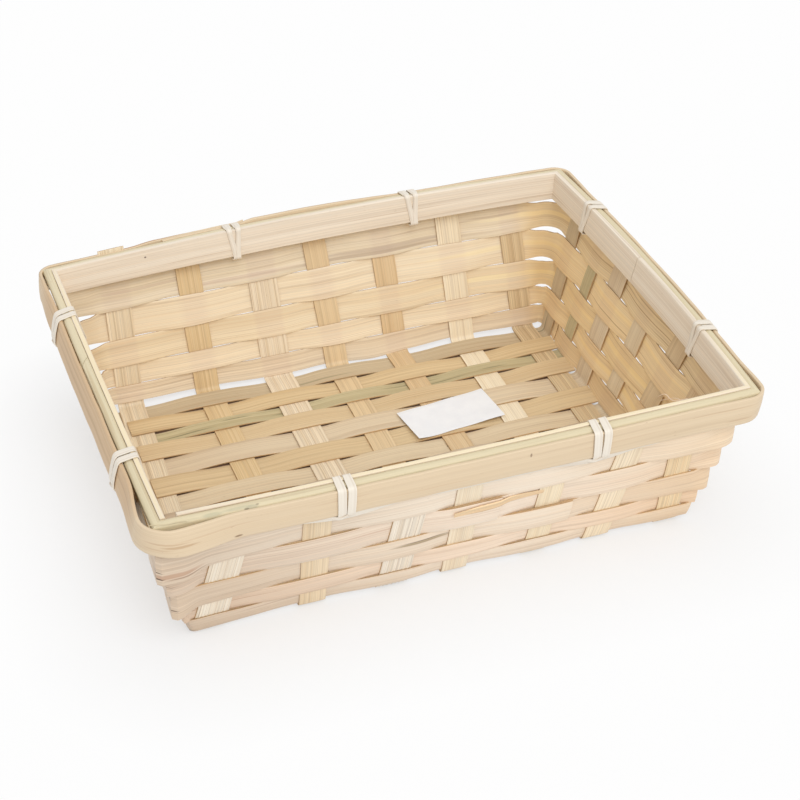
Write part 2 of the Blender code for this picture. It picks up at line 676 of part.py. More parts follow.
def lash_tie(side, centre):
    """Two turns of the lashing round the rim, with the folds where it leaves the run and returns to it."""
    wide = LASH_WIDTH / 2
    thick = LASH_THICKNESS / 2
    across = (wide, 0, 0)
    fold = (wide, LASH_TWIST_WIDTH / 2, 0)
    inside = INNER_INSIDE - CLEARANCE - thick
    high = HEIGHT + CLEARANCE + thick
    high_outside = OUTER_TOP + CLEARANCE + thick
    waist = mix(LASH_LOW, OUTER_TOP, LASH_WAIST_SHARE)
    start = centre - LASH_PITCH / 2
    run_offset = LASH_RUN_OFFSET + swell(side, centre)
    sections = [lash_section(side, start, run_offset, LASH_LOW, fold, (0, 0, -thick))]
    for turn in range(LASH_TURNS):
        here = start + turn * LASH_PITCH
        beyond = here + LASH_PITCH
        top_reach = lash_reach(side, here, OUTER_TOP)
        waist_reach = lash_reach(side, here, waist)
        low_reach = lash_reach(side, beyond, OUTER_BOTTOM)
        sections.append(lash_section(side, here, inside, LASH_LOW, across, (0, -thick, -thick)))
        sections.append(lash_section(side, here, inside, high, across, (0, -thick, thick)))
        sections.append(lash_section(side, here, INNER_OUTSIDE, high, across, (0, thick / 4, thick)))
        sections.append(lash_section(side, here, top_reach, high_outside, across, (0, thick, thick)))
        sections.append(lash_section(side, here, waist_reach, waist, across, (0, thick, 0)))
        sections.append(lash_section(side, beyond, low_reach, LASH_LOW, across, (0, thick, -thick)))
    leave = start + LASH_TURNS * LASH_PITCH
    sections.append(lash_section(side, leave, run_offset, LASH_LOW, fold, (0, 0, -thick)))
    return sections


def tie_places():
    """Every tie round the rim, from the front left corner anticlockwise: its side and its place."""
    ties = []
    for side, shares in ((FRONT, TIE_FRONT_SHARES), (RIGHT, TIE_RIGHT_SHARES), (BACK, TIE_BACK_SHARES),
                         (LEFT, TIE_LEFT_SHARES)):
        sign = 1 if side in (FRONT, RIGHT) else -1
        ties += [(side, sign * share * ridge_half(side)) for share in shares]
    return ties


def lash_run(side, start, end_side, end):
    """The stretch of lashing from one tie to the next, along under the outer lath."""
    points = []
    sides = 0 if side == end_side and start < end else (end_side - side) % 4 or 4
    for count in range(sides + 1):
        here = (side + count) % 4
        first = start if count == 0 else -side_half(here)
        last = end if count == sides else side_half(here)
        places = [place for place in outer_side_places(here) if first < place < last]
        points += [lash_side_point(here, place) for place in places]
        if count < sides:
            points += [lash_corner_point(here, step / CORNER_STEPS) for step in range(1, CORNER_STEPS)]
    return [lash_run_section(point) for point in points]


def make_lashing():
    ties = tie_places()
    before = LASH_PITCH / 2 + LASH_WIDTH
    after = LASH_TURNS * LASH_PITCH - LASH_PITCH / 2 + LASH_WIDTH
    tail_side, tail_place = ties[0]
    tail = tail_place - before - LASH_TAIL
    sections = [lash_run_section(lash_side_point(tail_side, tail))]
    for number, (side, centre) in enumerate(ties):
        sections.append(lash_run_section(lash_side_point(side, centre - before)))
        sections += lash_tie(side, centre)
        sections.append(lash_run_section(lash_side_point(side, centre + after)))
        next_side, next_centre = ties[(number + 1) % len(ties)]
        last = number == len(ties) - 1
        stop = tail - 2 * LASH_TURN_GAP if last else next_centre - before
        sections += lash_run(side, centre + after, next_side, stop)
    sections.append(lash_run_section(lash_side_point(tail_side, tail - 2 * LASH_TURN_GAP)))
    return sections


def least_own_gap(sections):
    """The least distance between two places on the lashing's edges that lie far apart along the strip."""
    points = []
    places = []
    run = 0
    for first, second in zip(sections, sections[1:]):
        length = max((b - a).length for a, b in zip(first, second))
        steps = max(1, round(2 * length / LASH_THICKNESS))
        for step in range(steps):
            for a, b in zip(first, second):
                points.append(a.lerp(b, step / steps))
                places.append(run + length * step / steps)
        run += length
    tree = KDTree(len(points))
    for index, point in enumerate(points):
        tree.insert(point, index)
    tree.balance()
    least = LASH_WIDTH
    for index, point in enumerate(points):
        for other, number, distance in tree.find_range(point, least):
            if abs(places[number] - places[index]) > 3 * LASH_WIDTH:
                least = min(least, distance)
    return least


def make_label():
    centre_x = LABEL_PLACE_SHARES[0] * FOOT_LENGTH / 2
    centre_y = LABEL_PLACE_SHARES[1] * FOOT_WIDTH / 2
    low = FLOOR_TOP + CLEARANCE
    sections = []
    for z in (low, low + LABEL_THICKNESS):
        section = []
        for across, up in ((-1, -1), (1, -1), (1, 1), (-1, 1)):
            x = across * LABEL_LENGTH / 2
            y = up * LABEL_WIDTH / 2
            turned_x = centre_x + x * cos(LABEL_TURN) - y * sin(LABEL_TURN)
            turned_y = centre_y + x * sin(LABEL_TURN) + y * cos(LABEL_TURN)
            section.append(settle((turned_x, turned_y, z)))
        sections.append(section)
    return sections


def centre_on_ground(bodies):
    """Move the whole basket so that the origin is on the ground under the middle of its outer bounds."""
    spots = [vertex.co for body in bodies for vertex in body.data.vertices]
    middle_x = (min(spot.x for spot in spots) + max(spot.x for spot in spots)) / 2
    middle_y = (min(spot.y for spot in spots) + max(spot.y for spot in spots)) / 2
    ground = min(spot.z for spot in spots)
    shift = Vector((middle_x, middle_y, ground))
    for spot in spots:
        spot -= shift
    print("moved to the middle by", [round(value / MM, 3) for value in shift], "mm")


def make_weave():
    bodies = []
    for index in range(len(CROSS_WIDTH_SHARES)):
        name = "cross_strip_%d" % (index + 1)
        bodies.append(add_body(name, make_cross_strip(index), CROSS_COLOURS[index], STRIP_ROUGHNESS))
    for index in range(len(LONG_WIDTH_SHARES)):
        name = "long_strip_%02d" % (index + 1)
        bodies.append(add_body(name, make_long_strip(index), LONG_COLOURS[index], STRIP_ROUGHNESS))
    for row in range(len(ROW_EDGE_SHARES) - 1):
        name = "side_strip_%d" % (row + 1)
        bodies.append(add_body(name, make_side_strip(row), SIDE_COLOURS[row], STRIP_ROUGHNESS))
    return bodies


def make_rim():
    return [
        add_body("rim_core_lath", make_core_lath(), CORE_COLOUR, LATH_ROUGHNESS),
        add_body("rim_inner_lath_front", make_inner_lath_front(), INNER_COLOUR, LATH_ROUGHNESS),
        add_body("rim_inner_lath_back", make_inner_lath_back(), INNER_COLOUR, LATH_ROUGHNESS),
        add_body("rim_outer_lath", make_outer_lath(), OUTER_COLOUR, LATH_ROUGHNESS),
    ]


def main():
    for item in list(bpy.data.objects):
        bpy.data.objects.remove(item)
    bodies = make_weave() + make_rim()
    lashing = make_lashing()
    print("least gap of the lashing to itself:", round(least_own_gap(lashing) / MM, 2), "mm")
    bodies.append(add_body("rim_lashing", lashing, LASHING_COLOUR, LASHING_ROUGHNESS))
    bodies.append(add_body("price_label", make_label(), LABEL_COLOUR, LABEL_ROUGHNESS))
    centre_on_ground(bodies)


main()
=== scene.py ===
"""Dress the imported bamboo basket: every strip, lath and binding in its own finish, on a pale floor.

Lengths here are in millimetres and are turned into metres when a point is put in place.
"""
from functools import partial
from math import atan2, ceil, cos, hypot, pi, radians, sin, tan, tanh

import bpy
from mathutils import Matrix, Vector, noise


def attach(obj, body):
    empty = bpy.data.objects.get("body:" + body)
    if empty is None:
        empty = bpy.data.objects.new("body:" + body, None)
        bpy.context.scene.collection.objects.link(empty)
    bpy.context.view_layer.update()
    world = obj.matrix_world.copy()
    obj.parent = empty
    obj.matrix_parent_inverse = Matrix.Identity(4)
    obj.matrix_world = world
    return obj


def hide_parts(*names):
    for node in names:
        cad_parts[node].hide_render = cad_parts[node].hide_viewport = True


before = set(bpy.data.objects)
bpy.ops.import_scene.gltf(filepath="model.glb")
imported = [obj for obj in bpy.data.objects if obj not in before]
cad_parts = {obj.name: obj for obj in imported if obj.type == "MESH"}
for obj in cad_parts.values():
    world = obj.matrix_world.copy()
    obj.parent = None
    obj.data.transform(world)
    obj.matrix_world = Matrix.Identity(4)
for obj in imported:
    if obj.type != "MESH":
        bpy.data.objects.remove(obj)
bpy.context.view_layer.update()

MM = 0.001

# The evenly built basket, as the frame has it.
RIDGE_LENGTH = 222.3
RIDGE_WIDTH = 174.3
FOOT_LENGTH = 198.0
FOOT_WIDTH = 147.6
HEIGHT = 67.5
RIM_LEAN = 0.214
LATH_HEIGHT = 11.0
RIM_BOTTOM = 56.5
TOP_HALF_X = 116.55
TOP_HALF_Y = 92.55

# How the real one has settled, and where its middle lies.
BOW_FRONT = 1.0
BOW_BACK = 5.5
BOW_LEFT = 0.4
BOW_RIGHT = 3.2
FOOT_SKEW = 1.8
LIFT_FRONT_LEFT = -1.2
LIFT_BACK_LEFT = -2.6
LIFT_BACK_RIGHT = 1.7
WALL_SIDE_SHARE = 0.75
FLOOR_TOP = 2.7
MOVE = Vector((-0.365, -2.365, 0.0))

# The strips.
STRIP_THICKNESS = 0.62
FLOOR_MIDDLE = 1.05
LONG_WAVE = 0.62
CROSS_WAVE = 0.2
ROW_WAVE = 0.62
STAKE_WAVE = 0.15
BEND_RADIUS = 2.2
STAKE_END_DROP = 4.5
PROUD_END = 0.4
CROSS_WIDTH = 10.5
CROSS_WIDTH_SHARES = (1.05, 1.00, 1.20, 0.96, 0.95, 1.04, 0.95)
CROSS_FRONT_RIM = (-0.768, -0.515, -0.175, 0.007, 0.315, 0.585, 0.760)
CROSS_FRONT_FOOT = (-0.946, -0.543, -0.230, 0.023, 0.352, 0.613, 0.920)
CROSS_BACK_FOOT = (-0.898, -0.560, -0.241, 0.030, 0.311, 0.625, 0.917)
CROSS_BACK_RIM = (-0.776, -0.497, -0.216, 0.003, 0.273, 0.550, 0.803)
LONG_WIDTH = 12.0
LONG_WIDTH_SHARES = (0.80, 0.85, 0.633, 0.90, 1.017, 1.033, 0.90, 1.00, 1.033, 1.017, 1.033, 1.167)
LONG_LEFT_FOOT = (0.899, 0.760, 0.636, 0.507, 0.347, 0.176, 0.015, -0.144, -0.313, -0.484, -0.654, -0.839)
LONG_RIGHT_FOOT = (0.906, 0.771, 0.650, 0.522, 0.362, 0.191, 0.030, -0.129, -0.299, -0.472, -0.644, -0.829)
STAKE_LEFT_RIM = (0.792, 0.488, 0.287, 0.000, -0.310, -0.688)
STAKE_RIGHT_RIM = (0.809, 0.528, 0.298, -0.017, -0.390, -0.666)
FILLER_LEFT_END = 5.4
FILLER_RIGHT_END = -0.4
ROW_EDGES = (2.9, 9.8, 18.4, 29.6, 42.2, 54.3)
ROW_CORNER_RADII = ((8.0, 7.5, 8.0, 1.6), (3.5, 6.0, 6.0, 1.4), (1.6, 5.0, 6.5, 1.2),
                    (1.2, 3.5, 6.0, 1.2), (1.2, 2.5, 4.5, 1.2))
ROW_CORNER_PLACES = ((0.2, 0.2, 0.2, 1.15), (0.2, 0.2, 0.2, 0.95), (0.15, 0.2, 0.2, 1.3),
                     (0.35, 0.2, 0.2, 0.8), (0.2, 0.2, 0.2, 0.3))
ROW_EDGE_SHIFTS = ((2, 6.6, -1.8, 0.7), (1, 6.6, -0.8, 0.7), (0, 25.6, -1.9, 0.8), (1, 25.5, -1.0, 0.7),
                   (2, 25.5, -2.0, 0.7), (4, 25.5, -2.6, 0.7), (0, 16, -1.0, 3.5), (0, 10.5, -1.5, 4.0),
                   (0, 15.5, -1.4, 0.7), (5, 19.5, 1.5, 1.2))
ROW_LAP_STAKES = (6, 3, 4, 21, 12)
ROW_LAP_REACH = 0.45
ROW_LAP_OUT = 0.8
STEP_ALONG = 1.8

# Stakes are counted round the basket from the front left corner, anticlockwise.
CROSSES = 7
LONGS = 12
ROWS = 5
STAKES = 2 * CROSSES + LONGS
BACK_RING = CROSSES + LONGS // 2
LEFT_RING = BACK_RING + CROSSES

# The rim.
INNER_INSIDE = -6.25
INNER_OUTSIDE = -4.32
CORE_INSIDE = -4.25
CORE_OUTSIDE = -0.65
OUTER_INSIDE = -0.55
OUTER_OUTSIDE = 0.8
OUTER_TOP = 66.45
OUTER_BOTTOM = 55.5
OUTER_HEIGHT = 10.7
OUTER_CORNER_RADII = (5.6, 5.6, 4.6, 8.0)
OUTER_SWELLS = (0.9, 0.8, 0.4, 2.5)
OUTER_STANDS = (2.2, 2.2, 2.2, 4.8)
OUTER_SWELL_LENGTH = 24.0
OUTER_LAP_STEP = 1.35
OUTER_SLIP = 1.3
OUTER_LAP_START = 28.0
OUTER_LAP_END = 64.0
CORE_JOINT = -17.4
CORE_SLANT = 2.4
INNER_JOINT = 9.6
INNER_END_GAP = 1.8

# The binding strip round the rim.
LASH_WIDTH = 3.1
LASH_PITCH = 3.8
LASH_THICKNESS = 0.4
LASH_EDGE = 0.08
RUN_HEIGHT = 56.6
RUN_HALF_WIDTH = 1.35
RUN_DIP = 2.6
RUN_DIP_OUT = 1.1
RUN_LEANS = (1.3, 2.4)
RUN_SHOWN = 0.42
RUN_THICKNESS = 0.35
TIE_PLACES = ((0, -47.2), (0, 50.1), (1, -44.7), (1, 55.2), (2, -44.7), (2, 34.3), (3, -52.8), (3, 47.9))

# The brown of the fine flaws that are everywhere.
FLAW_TONE = (158, 120, 80)

# The grain of split bamboo: streaks, broad streaks, fibres, cloud, hairlines, specks and blotches. Each is a
# step of the seed, then its length, its width and at times its detail.
GRAINS = ((0, 520, 0.62, 2.0), (5, 900, 3.6), (11, 190, 0.34), (23, 60, 30), (31, 150, 0.3),
          (37, 3.2, 0.8, 2.0), (41, 95, 1.5))
GRAIN_BUMP = 0.35
GRAIN_DEPTH = 0.1

# Single marks: how far along and across, length, width, tone and strength. Some tones come back.
# Dark splits at the folds of the front left corner: real cracks, made darker as painted shade in the creases.
SPLIT_AND_CREASE_SHADE = (88, 62, 44)
SMALL_SPLIT_AND_CREASE_SHADE = (104, 74, 54)
LATH_LINE = (204, 170, 132)
WALL_LINE = (166, 128, 86)
OUTER_MARKS = (
    (286, 4.6, 15, 1.2, (184, 146, 108), 0.55), (281, 5.9, 20, 0.8, (190, 152, 114), 0.45),
    (277, 3.4, 14, 0.7, (192, 156, 118), 0.4), (300, 6.6, 34, 0.8, LATH_LINE, 0.35),
    (307, 1.6, 3.4, 1.0, (128, 92, 60), 0.75), (414.6, 8.2, 0.9, 1.8, (132, 106, 86), 0.75),
    (345, 7.4, 26, 0.8, LATH_LINE, 0.3), (377, 3.6, 36, 0.6, (200, 166, 128), 0.3),
    (450, 5.8, 48, 0.7, LATH_LINE, 0.3), (489, 8.2, 30, 0.6, (194, 160, 124), 0.4),
    (498, 3.0, 12, 0.8, (184, 148, 112), 0.4), (180, 5.0, 110, 1.8, (190, 164, 130), 0.4),
    (145, 8.0, 90, 1.2, (184, 156, 122), 0.4), (240, 7.4, 60, 1.2, (188, 156, 120), 0.4),
    (44, 11.2, 46, 1.7, (172, 124, 82), 0.8), (76, 11.0, 60, 1.4, (158, 126, 94), 0.5),
    (800, 11.2, 90, 1.2, (182, 150, 114), 0.5), (730, 11.2, 80, 1.2, (164, 134, 104), 0.5))
CORE_MARKS = (
    (215, 13.1, 120, 0.9, (206, 196, 162), 0.5), (121, 14.0, 8, 2.2, (184, 180, 150), 0.6),
    (130, 14.4, 12, 1.6, (188, 182, 152), 0.55), (135, 13.6, 5, 2.4, (176, 170, 142), 0.6),
    (133, 13.4, 2.0, 1.0, (126, 112, 88), 0.7), (137, 14.4, 1.4, 0.8, (140, 122, 96), 0.6),
    (112, 14.0, 12, 0.8, (200, 188, 154), 0.5), (30, 14.6, 60, 1.6, (192, 166, 120), 0.4),
    (62, 13.8, 50, 1.0, (182, 156, 114), 0.4), (70, 13.0, 80, 1.0, (180, 170, 130), 0.55),
    (22, 13.4, 50, 0.6, (150, 132, 92), 0.45), (748, 13.4, 60, 0.8, (164, 144, 104), 0.4),
    (700, 14.6, 60, 1.0, (188, 162, 120), 0.4))
INNER_TOP_MARK = (120, 12.0, 260, 2.2, (246, 230, 192), 0.8)
INNER_MARKS = (
    (390, 12.0, 220, 2.2, (244, 226, 186), 0.8), (259.5, 16.0, 1.0, 0.8, (96, 78, 66), 0.9),
    (150, 18.6, 60, 0.5, (206, 182, 156), 0.6), (236, 20.8, 44, 0.5, (206, 184, 160), 0.6))
ROW_MARKS = {
    0: (
        (283, -2.8, 74, 2.4, (160, 132, 108), 0.45), (292, -4.4, 84, 1.6, (152, 124, 100), 0.45),
        (262, 1.6, 50, 1.2, (190, 160, 124), 0.3), (350, -3.6, 60, 2.2, (190, 158, 138), 0.35),
        (392, 0.6, 50, 1.6, (196, 164, 138), 0.3), (232, 2.4, 30, 1.2, (172, 142, 108), 0.35),
        (606, -3.6, 26, 2.4, (204, 156, 124), 0.6), (612, -5.2, 18, 0.7, (152, 104, 76), 0.6),
        (600, -1.6, 7, 0.6, SMALL_SPLIT_AND_CREASE_SHADE, 0.85), (601, -4.4, 6, 0.7, SPLIT_AND_CREASE_SHADE, 0.9),
        (14, -2.4, 64, 1.6, (222, 212, 208), 0.6), (16, -4.4, 54, 0.35, (140, 118, 104), 0.5),
        (100, 2.4, 90, 0.7, (150, 114, 74), 0.5), (116, -1.2, 80, 0.6, (160, 122, 80), 0.5),
        (84, -3.6, 70, 0.6, (150, 114, 74), 0.5), (150, 0.6, 60, 0.7, (164, 128, 86), 0.5),
        # The wide pale golden mark below is a painted highlight along the middle of the strip.
        (212, 1.0, 70, 2.6, (255, 240, 200), 0.6)),
    1: (
        (654, -4.2, 8, 0.7, SPLIT_AND_CREASE_SHADE, 0.9), (664, -5.4, 7, 0.6, SMALL_SPLIT_AND_CREASE_SHADE, 0.8),
        (662, -0.6, 9, 0.3, (150, 116, 88), 0.6), (742, 1.4, 36, 0.8, (206, 156, 122), 0.4),
        # The two wide pale golden marks below are painted highlights along the middle of the strip.
        (205, 1.6, 110, 2.6, (255, 234, 188), 0.6), (214, -3.6, 70, 0.5, (160, 124, 84), 0.5),
        (176, 4.6, 60, 0.5, (170, 132, 90), 0.45), (300, 0.6, 80, 2.6, (255, 238, 194), 0.6)),
    2: (
        (612, 2.4, 7, 0.7, SPLIT_AND_CREASE_SHADE, 0.9), (615, -2.2, 6, 0.6, SMALL_SPLIT_AND_CREASE_SHADE, 0.8),
        (711, 1.7, 26, 2.0, (160, 138, 100), 0.75), (712, 2.5, 22, 0.5, (112, 86, 60), 0.75),
        # The two wide pale golden marks below are painted highlights along the middle of the strip.
        (646, -2.4, 40, 0.5, (172, 142, 110), 0.45), (165, 0.2, 110, 2.8, (255, 234, 186), 0.65),
        (182, 4.0, 60, 0.5, WALL_LINE, 0.5), (140, -3.6, 50, 0.5, WALL_LINE, 0.45),
        (262, 0.6, 80, 2.6, (255, 238, 192), 0.6)),
    3: (
        (124, -2.6, 6, 0.7, SPLIT_AND_CREASE_SHADE, 0.9), (131, -4.6, 7, 0.6, SMALL_SPLIT_AND_CREASE_SHADE, 0.8),
        # The wide pale golden mark below is a painted highlight along the middle of the strip.
        (150, 1.2, 44, 0.6, (196, 154, 118), 0.45), (415, 0.0, 120, 2.6, (255, 233, 184), 0.65),
        (424, 3.8, 60, 0.5, WALL_LINE, 0.5), (392, -3.8, 50, 0.5, WALL_LINE, 0.45)),
    4: (
        (236, -1.2, 26, 0.7, (160, 124, 98), 0.5), (240, 0.8, 20, 0.6, (166, 128, 100), 0.4),
        (360, -1.4, 6, 0.7, SPLIT_AND_CREASE_SHADE, 0.9), (366, -3.4, 6, 0.6, SMALL_SPLIT_AND_CREASE_SHADE, 0.8),
        (398, 1.8, 30, 0.5, (178, 140, 112), 0.45))}
LONG_MARKS = {
    0: (
        (150, 2.0, 40, 1.2, (132, 124, 92), 0.5), (262, -1.6, 16, 0.9, (120, 112, 84), 0.6)),
    2: (
        (90, 1.4, 24, 0.9, (112, 108, 78), 0.65), (112, -1.6, 14, 0.8, (108, 102, 74), 0.6),
        (136, 0.6, 18, 1.0, (118, 112, 80), 0.6), (190, -1.0, 30, 0.8, (120, 112, 82), 0.6),
        (205, 1.6, 22, 0.8, (116, 110, 80), 0.6), (228, 0.2, 14, 0.7, (112, 106, 78), 0.6)),
    10: (
        (112, -1.2, 30, 1.6, (132, 100, 62), 0.75), (126, 1.2, 36, 0.9, (148, 114, 74), 0.6),
        (170, 2.2, 50, 0.8, (158, 126, 86), 0.5)),
    6: (
        (190, 0.5, 0.9, 0.9, (84, 66, 56), 0.9),)}

LABEL_LENGTH = 40.6
LABEL_WIDTH = 21.5
LABEL_MIDDLE = (36.4, 20.1)
LABEL_TURN = radians(7)
LABEL_ROUND = 0.2
LABEL_THICKNESS = 0.12
LABEL_LEVEL = 2.2
LABEL_CURL = 0.9

# Split and torn fibres, as places along, out and up on a wall.
SLIVER_ENDS = (-4.0, 32.0)
SLIVER_HEIGHTS = (39.0, 39.2)
SLIVER_THICKNESS = 0.3
SLIVER_OUT = 0.95
SLIVER_LAP_OUT = 0.9
SLIVER_LAP_END = 19
FIBRE_THICKNESS = 0.16
FIBRE_EDGE = 0.03
CURL_POINTS = ((-31, -1.2, 27.5), (-34, -2.4, 30.5), (-38, -3.4, 33.6), (-43, -3.4, 33.4), (-47, -2.6, 36.0),
               (-50, -1.6, 38.4))
SECOND_CURL_POINTS = ((-34, -1.4, 27.8), (-39, -2.6, 31.6), (-44, -2.8, 35.4), (-48, -1.8, 36.0))
TORN_POINTS = ((-116.4, -2.2, 67.1), (-113.5, -1.2, 67.7), (-110.5, -0.6, 67.2), (-107.0, -0.9, 67.3),
               (-103.5, -0.4, 67.0))

# The floor, the light and the camera, in metres.
# Painted shadow: the floor's dark brown base colour under the basket's foot.
UNDER_SHADE = (0.38, 0.24, 0.17, 1)
UNDER_HALF = (0.095, 0.068, 0)
FLOOR_COLOUR = (0.82, 0.82, 0.82, 1)
STUDIO_STRENGTH = 0.78
SUN_PLACE = (0.1, -1.0, 1.15)
SUN_STRENGTH = 1.2
SUN_BREADTH = radians(45)
CAMERA_LENS = 89.243
CAMERA_PLACE = Vector((-0.218035, -0.614955, 0.48064))
CAMERA_RIGHT = Vector((0.93903, -0.34384, 0))
CAMERA_UP = Vector((0.19556, 0.53406, 0.82252))
CAMERA_FORWARD = Vector((0.28282, 0.77237, -0.56874))

FRONT, RIGHT, BACK, LEFT = range(4)


def between(low, high, value):
    return max(low, min(high, value))


def mix(a, b, share):
    return a + (b - a) * share


def ease(share):
    return share * share * (3 - 2 * share)


def ramp(share):
    """A soft rise from nought to one as the share goes from nought to one."""
    return ease(between(0, 1, share))


def waver(along, seed, length):
    """A smooth random number from about -1 to 1 that changes over the given length."""
    return noise.noise(Vector((along / length, 7.3 * seed + 0.37, 3.1 * seed)))


def wall_half(top_half, foot_half, z):
    """Half the length or width of the wall's middle surface at height z."""
    if z >= RIM_BOTTOM:
        return top_half - RIM_LEAN * (HEIGHT - z)
    knee = top_half - RIM_LEAN * LATH_HEIGHT
    return foot_half + (knee - foot_half) * z / RIM_BOTTOM


def half_x(z):
    return wall_half(TOP_HALF_X, FOOT_LENGTH / 2, z)


def half_y(z):
    return wall_half(TOP_HALF_Y, FOOT_WIDTH / 2, z)


def put(point):
    """Take a point of the evenly built basket to where the real one has settled, in metres."""
    x, y, z = point
    u = between(-1, 1, x / TOP_HALF_X)
    v = between(-1, 1, y / TOP_HALF_Y)
    side_u = between(-1, 1, u / WALL_SIDE_SHARE)
    side_v = between(-1, 1, v / WALL_SIDE_SHARE)
    rise = max(0, (z - FLOOR_TOP) / (HEIGHT - FLOOR_TOP))
    bow_x = BOW_RIGHT if x > 0 else BOW_LEFT
    bow_y = BOW_BACK if y > 0 else BOW_FRONT
    lift = (LIFT_BACK_LEFT * (1 - u) * (1 + v) + LIFT_FRONT_LEFT * (1 - u) * (1 - v)
            + LIFT_BACK_RIGHT * (1 + u) * (1 + v)) / 4
    settled = Vector((x + bow_x * rise * (1 - v * v) * side_u + FOOT_SKEW * v * (1 - z / HEIGHT),
                      y + bow_y * rise * (1 - u * u) * side_v, z + lift * rise))
    return (settled + MOVE) * MM


def side_point(side, along, offset, z, wall_z=None):
    """A point on one wall. The distance along a side grows anticlockwise, seen from above."""
    wall_z = z if wall_z is None else wall_z
    if side == FRONT:
        return (along, -half_y(wall_z) - offset, z)
    if side == RIGHT:
        return (half_x(wall_z) + offset, along, z)
    if side == BACK:
        return (-along, half_y(wall_z) + offset, z)
    return (-half_x(wall_z) - offset, -along, z)


def arc_point(corner, radius, turn, offset, z, wall_z=None):
    """A point on the round corner at the end of a side. The turn runs from 0 to 1 round the corner."""
    wall_z = z if wall_z is None else wall_z
    sign_x = 1 if corner in (FRONT, RIGHT) else -1
    sign_y = 1 if corner in (RIGHT, BACK) else -1
    angle = (corner - 1 + turn) * pi / 2
    reach = radius + offset
    return (sign_x * (half_x(wall_z) - radius) + reach * cos(angle),
            sign_y * (half_y(wall_z) - radius) + reach * sin(angle), z)


def corner_point(corner, offset, z):
    """The sharp corner at the end of a side."""
    across = half_x(z) + offset if corner in (FRONT, BACK) else half_y(z) + offset
    return side_point(corner, across, offset, z)


def tone(red, green, blue):
    """A colour as the eye names it, from 0 to 255, as the linear colour that a shader takes."""
    linear = []
    for value in (red, green, blue):
        share = value / 255
        linear.append(share / 12.92 if share <= 0.04045 else ((share + 0.055) / 1.055) ** 2.4)
    return (*linear, 1)


def feed(tree, socket, value):
    """Give a socket a plain value, or link it to the socket of another node."""
    if isinstance(value, bpy.types.NodeSocket):
        tree.links.new(value, socket)
    else:
        socket.default_value = value


def add_node(tree, kind, inputs=None, **settings):
    """A node with its settings and its inputs, which are plain values or sockets of other nodes."""
    node = tree.nodes.new(kind)
    for name, value in settings.items():
        setattr(node, name, value)
    for name, value in (inputs or {}).items():
        feed(tree, node.inputs[name], value)
    return node


def combine(tree, operation, *values, kind="ShaderNodeMath"):
    """The outcome of a sum or another operation on numbers, or on vectors with that kind of node."""
    return add_node(tree, kind, dict(enumerate(values)), operation=operation).outputs[0]


def length_of(tree, vector):
    return add_node(tree, "ShaderNodeVectorMath", {0: vector}, operation="LENGTH").outputs["Value"]


def new_finish(name):
    """A new material with its nodes and its shader."""
    material = bpy.data.materials.new(name)
    material.use_nodes = True
    tree = material.node_tree
    return material, tree, tree.nodes["Principled BSDF"]


def own_map(tree):
    """The piece's own map: how far along and across a place lies, in millimetres."""
    return add_node(tree, "ShaderNodeUVMap", uv_map="UVMap").outputs["UV"]


def stretched(tree, uv, shift, length, width):
    inputs = {"Vector": uv, "Location": shift, "Scale": (1 / length, 1 / width, 1)}
    return add_node(tree, "ShaderNodeMapping", inputs).outputs["Vector"]


def grain(tree, uv, seed, length, width, detail=1.0):
    """Noise stretched along the strip: patches of the given length and width in millimetres."""
    place = stretched(tree, uv, (3.7 * seed, 5.1 * seed, 0.9 * seed), length, width)
    inputs = {"Vector": place, "Scale": 1, "Detail": detail, "Roughness": 0.55}
    return add_node(tree, "ShaderNodeTexNoise", inputs, noise_dimensions="2D").outputs["Fac"]


def spread(tree, value, low, high, to_low=0, to_high=1):
    """Take a range of a value to another range."""
    inputs = {"Value": value, "From Min": low, "From Max": high, "To Min": to_low, "To Max": to_high}
    return add_node(tree, "ShaderNodeMapRange", inputs).outputs["Result"]


def blend_colour(tree, share, first, second, way="MIX"):
    """Mix two colours by a share. Each is a colour or the socket of a node."""
    inputs = {0: share, 6: first, 7: second}
    return add_node(tree, "ShaderNodeMix", inputs, data_type="RGBA", blend_type=way).outputs[2]


def add_bump(tree, shader, height, strength, depth):
    inputs = {"Strength": strength, "Distance": depth * MM, "Height": height}
    feed(tree, shader.inputs["Normal"], add_node(tree, "ShaderNodeBump", inputs).outputs["Normal"])


def single_mark(tree, uv, colour, mark):
    """Stain one place: how far along and across it lies, how long and wide it is, its tone and strength."""
    along, across, length, width, stain, strength = mark
    place = stretched(tree, uv, (-along / length, -across / width, 0), length, width)
    share = spread(tree, length_of(tree, place), 0.3, 0.55, strength, 0)
    return blend_colour(tree, share, colour, tone(*stain))


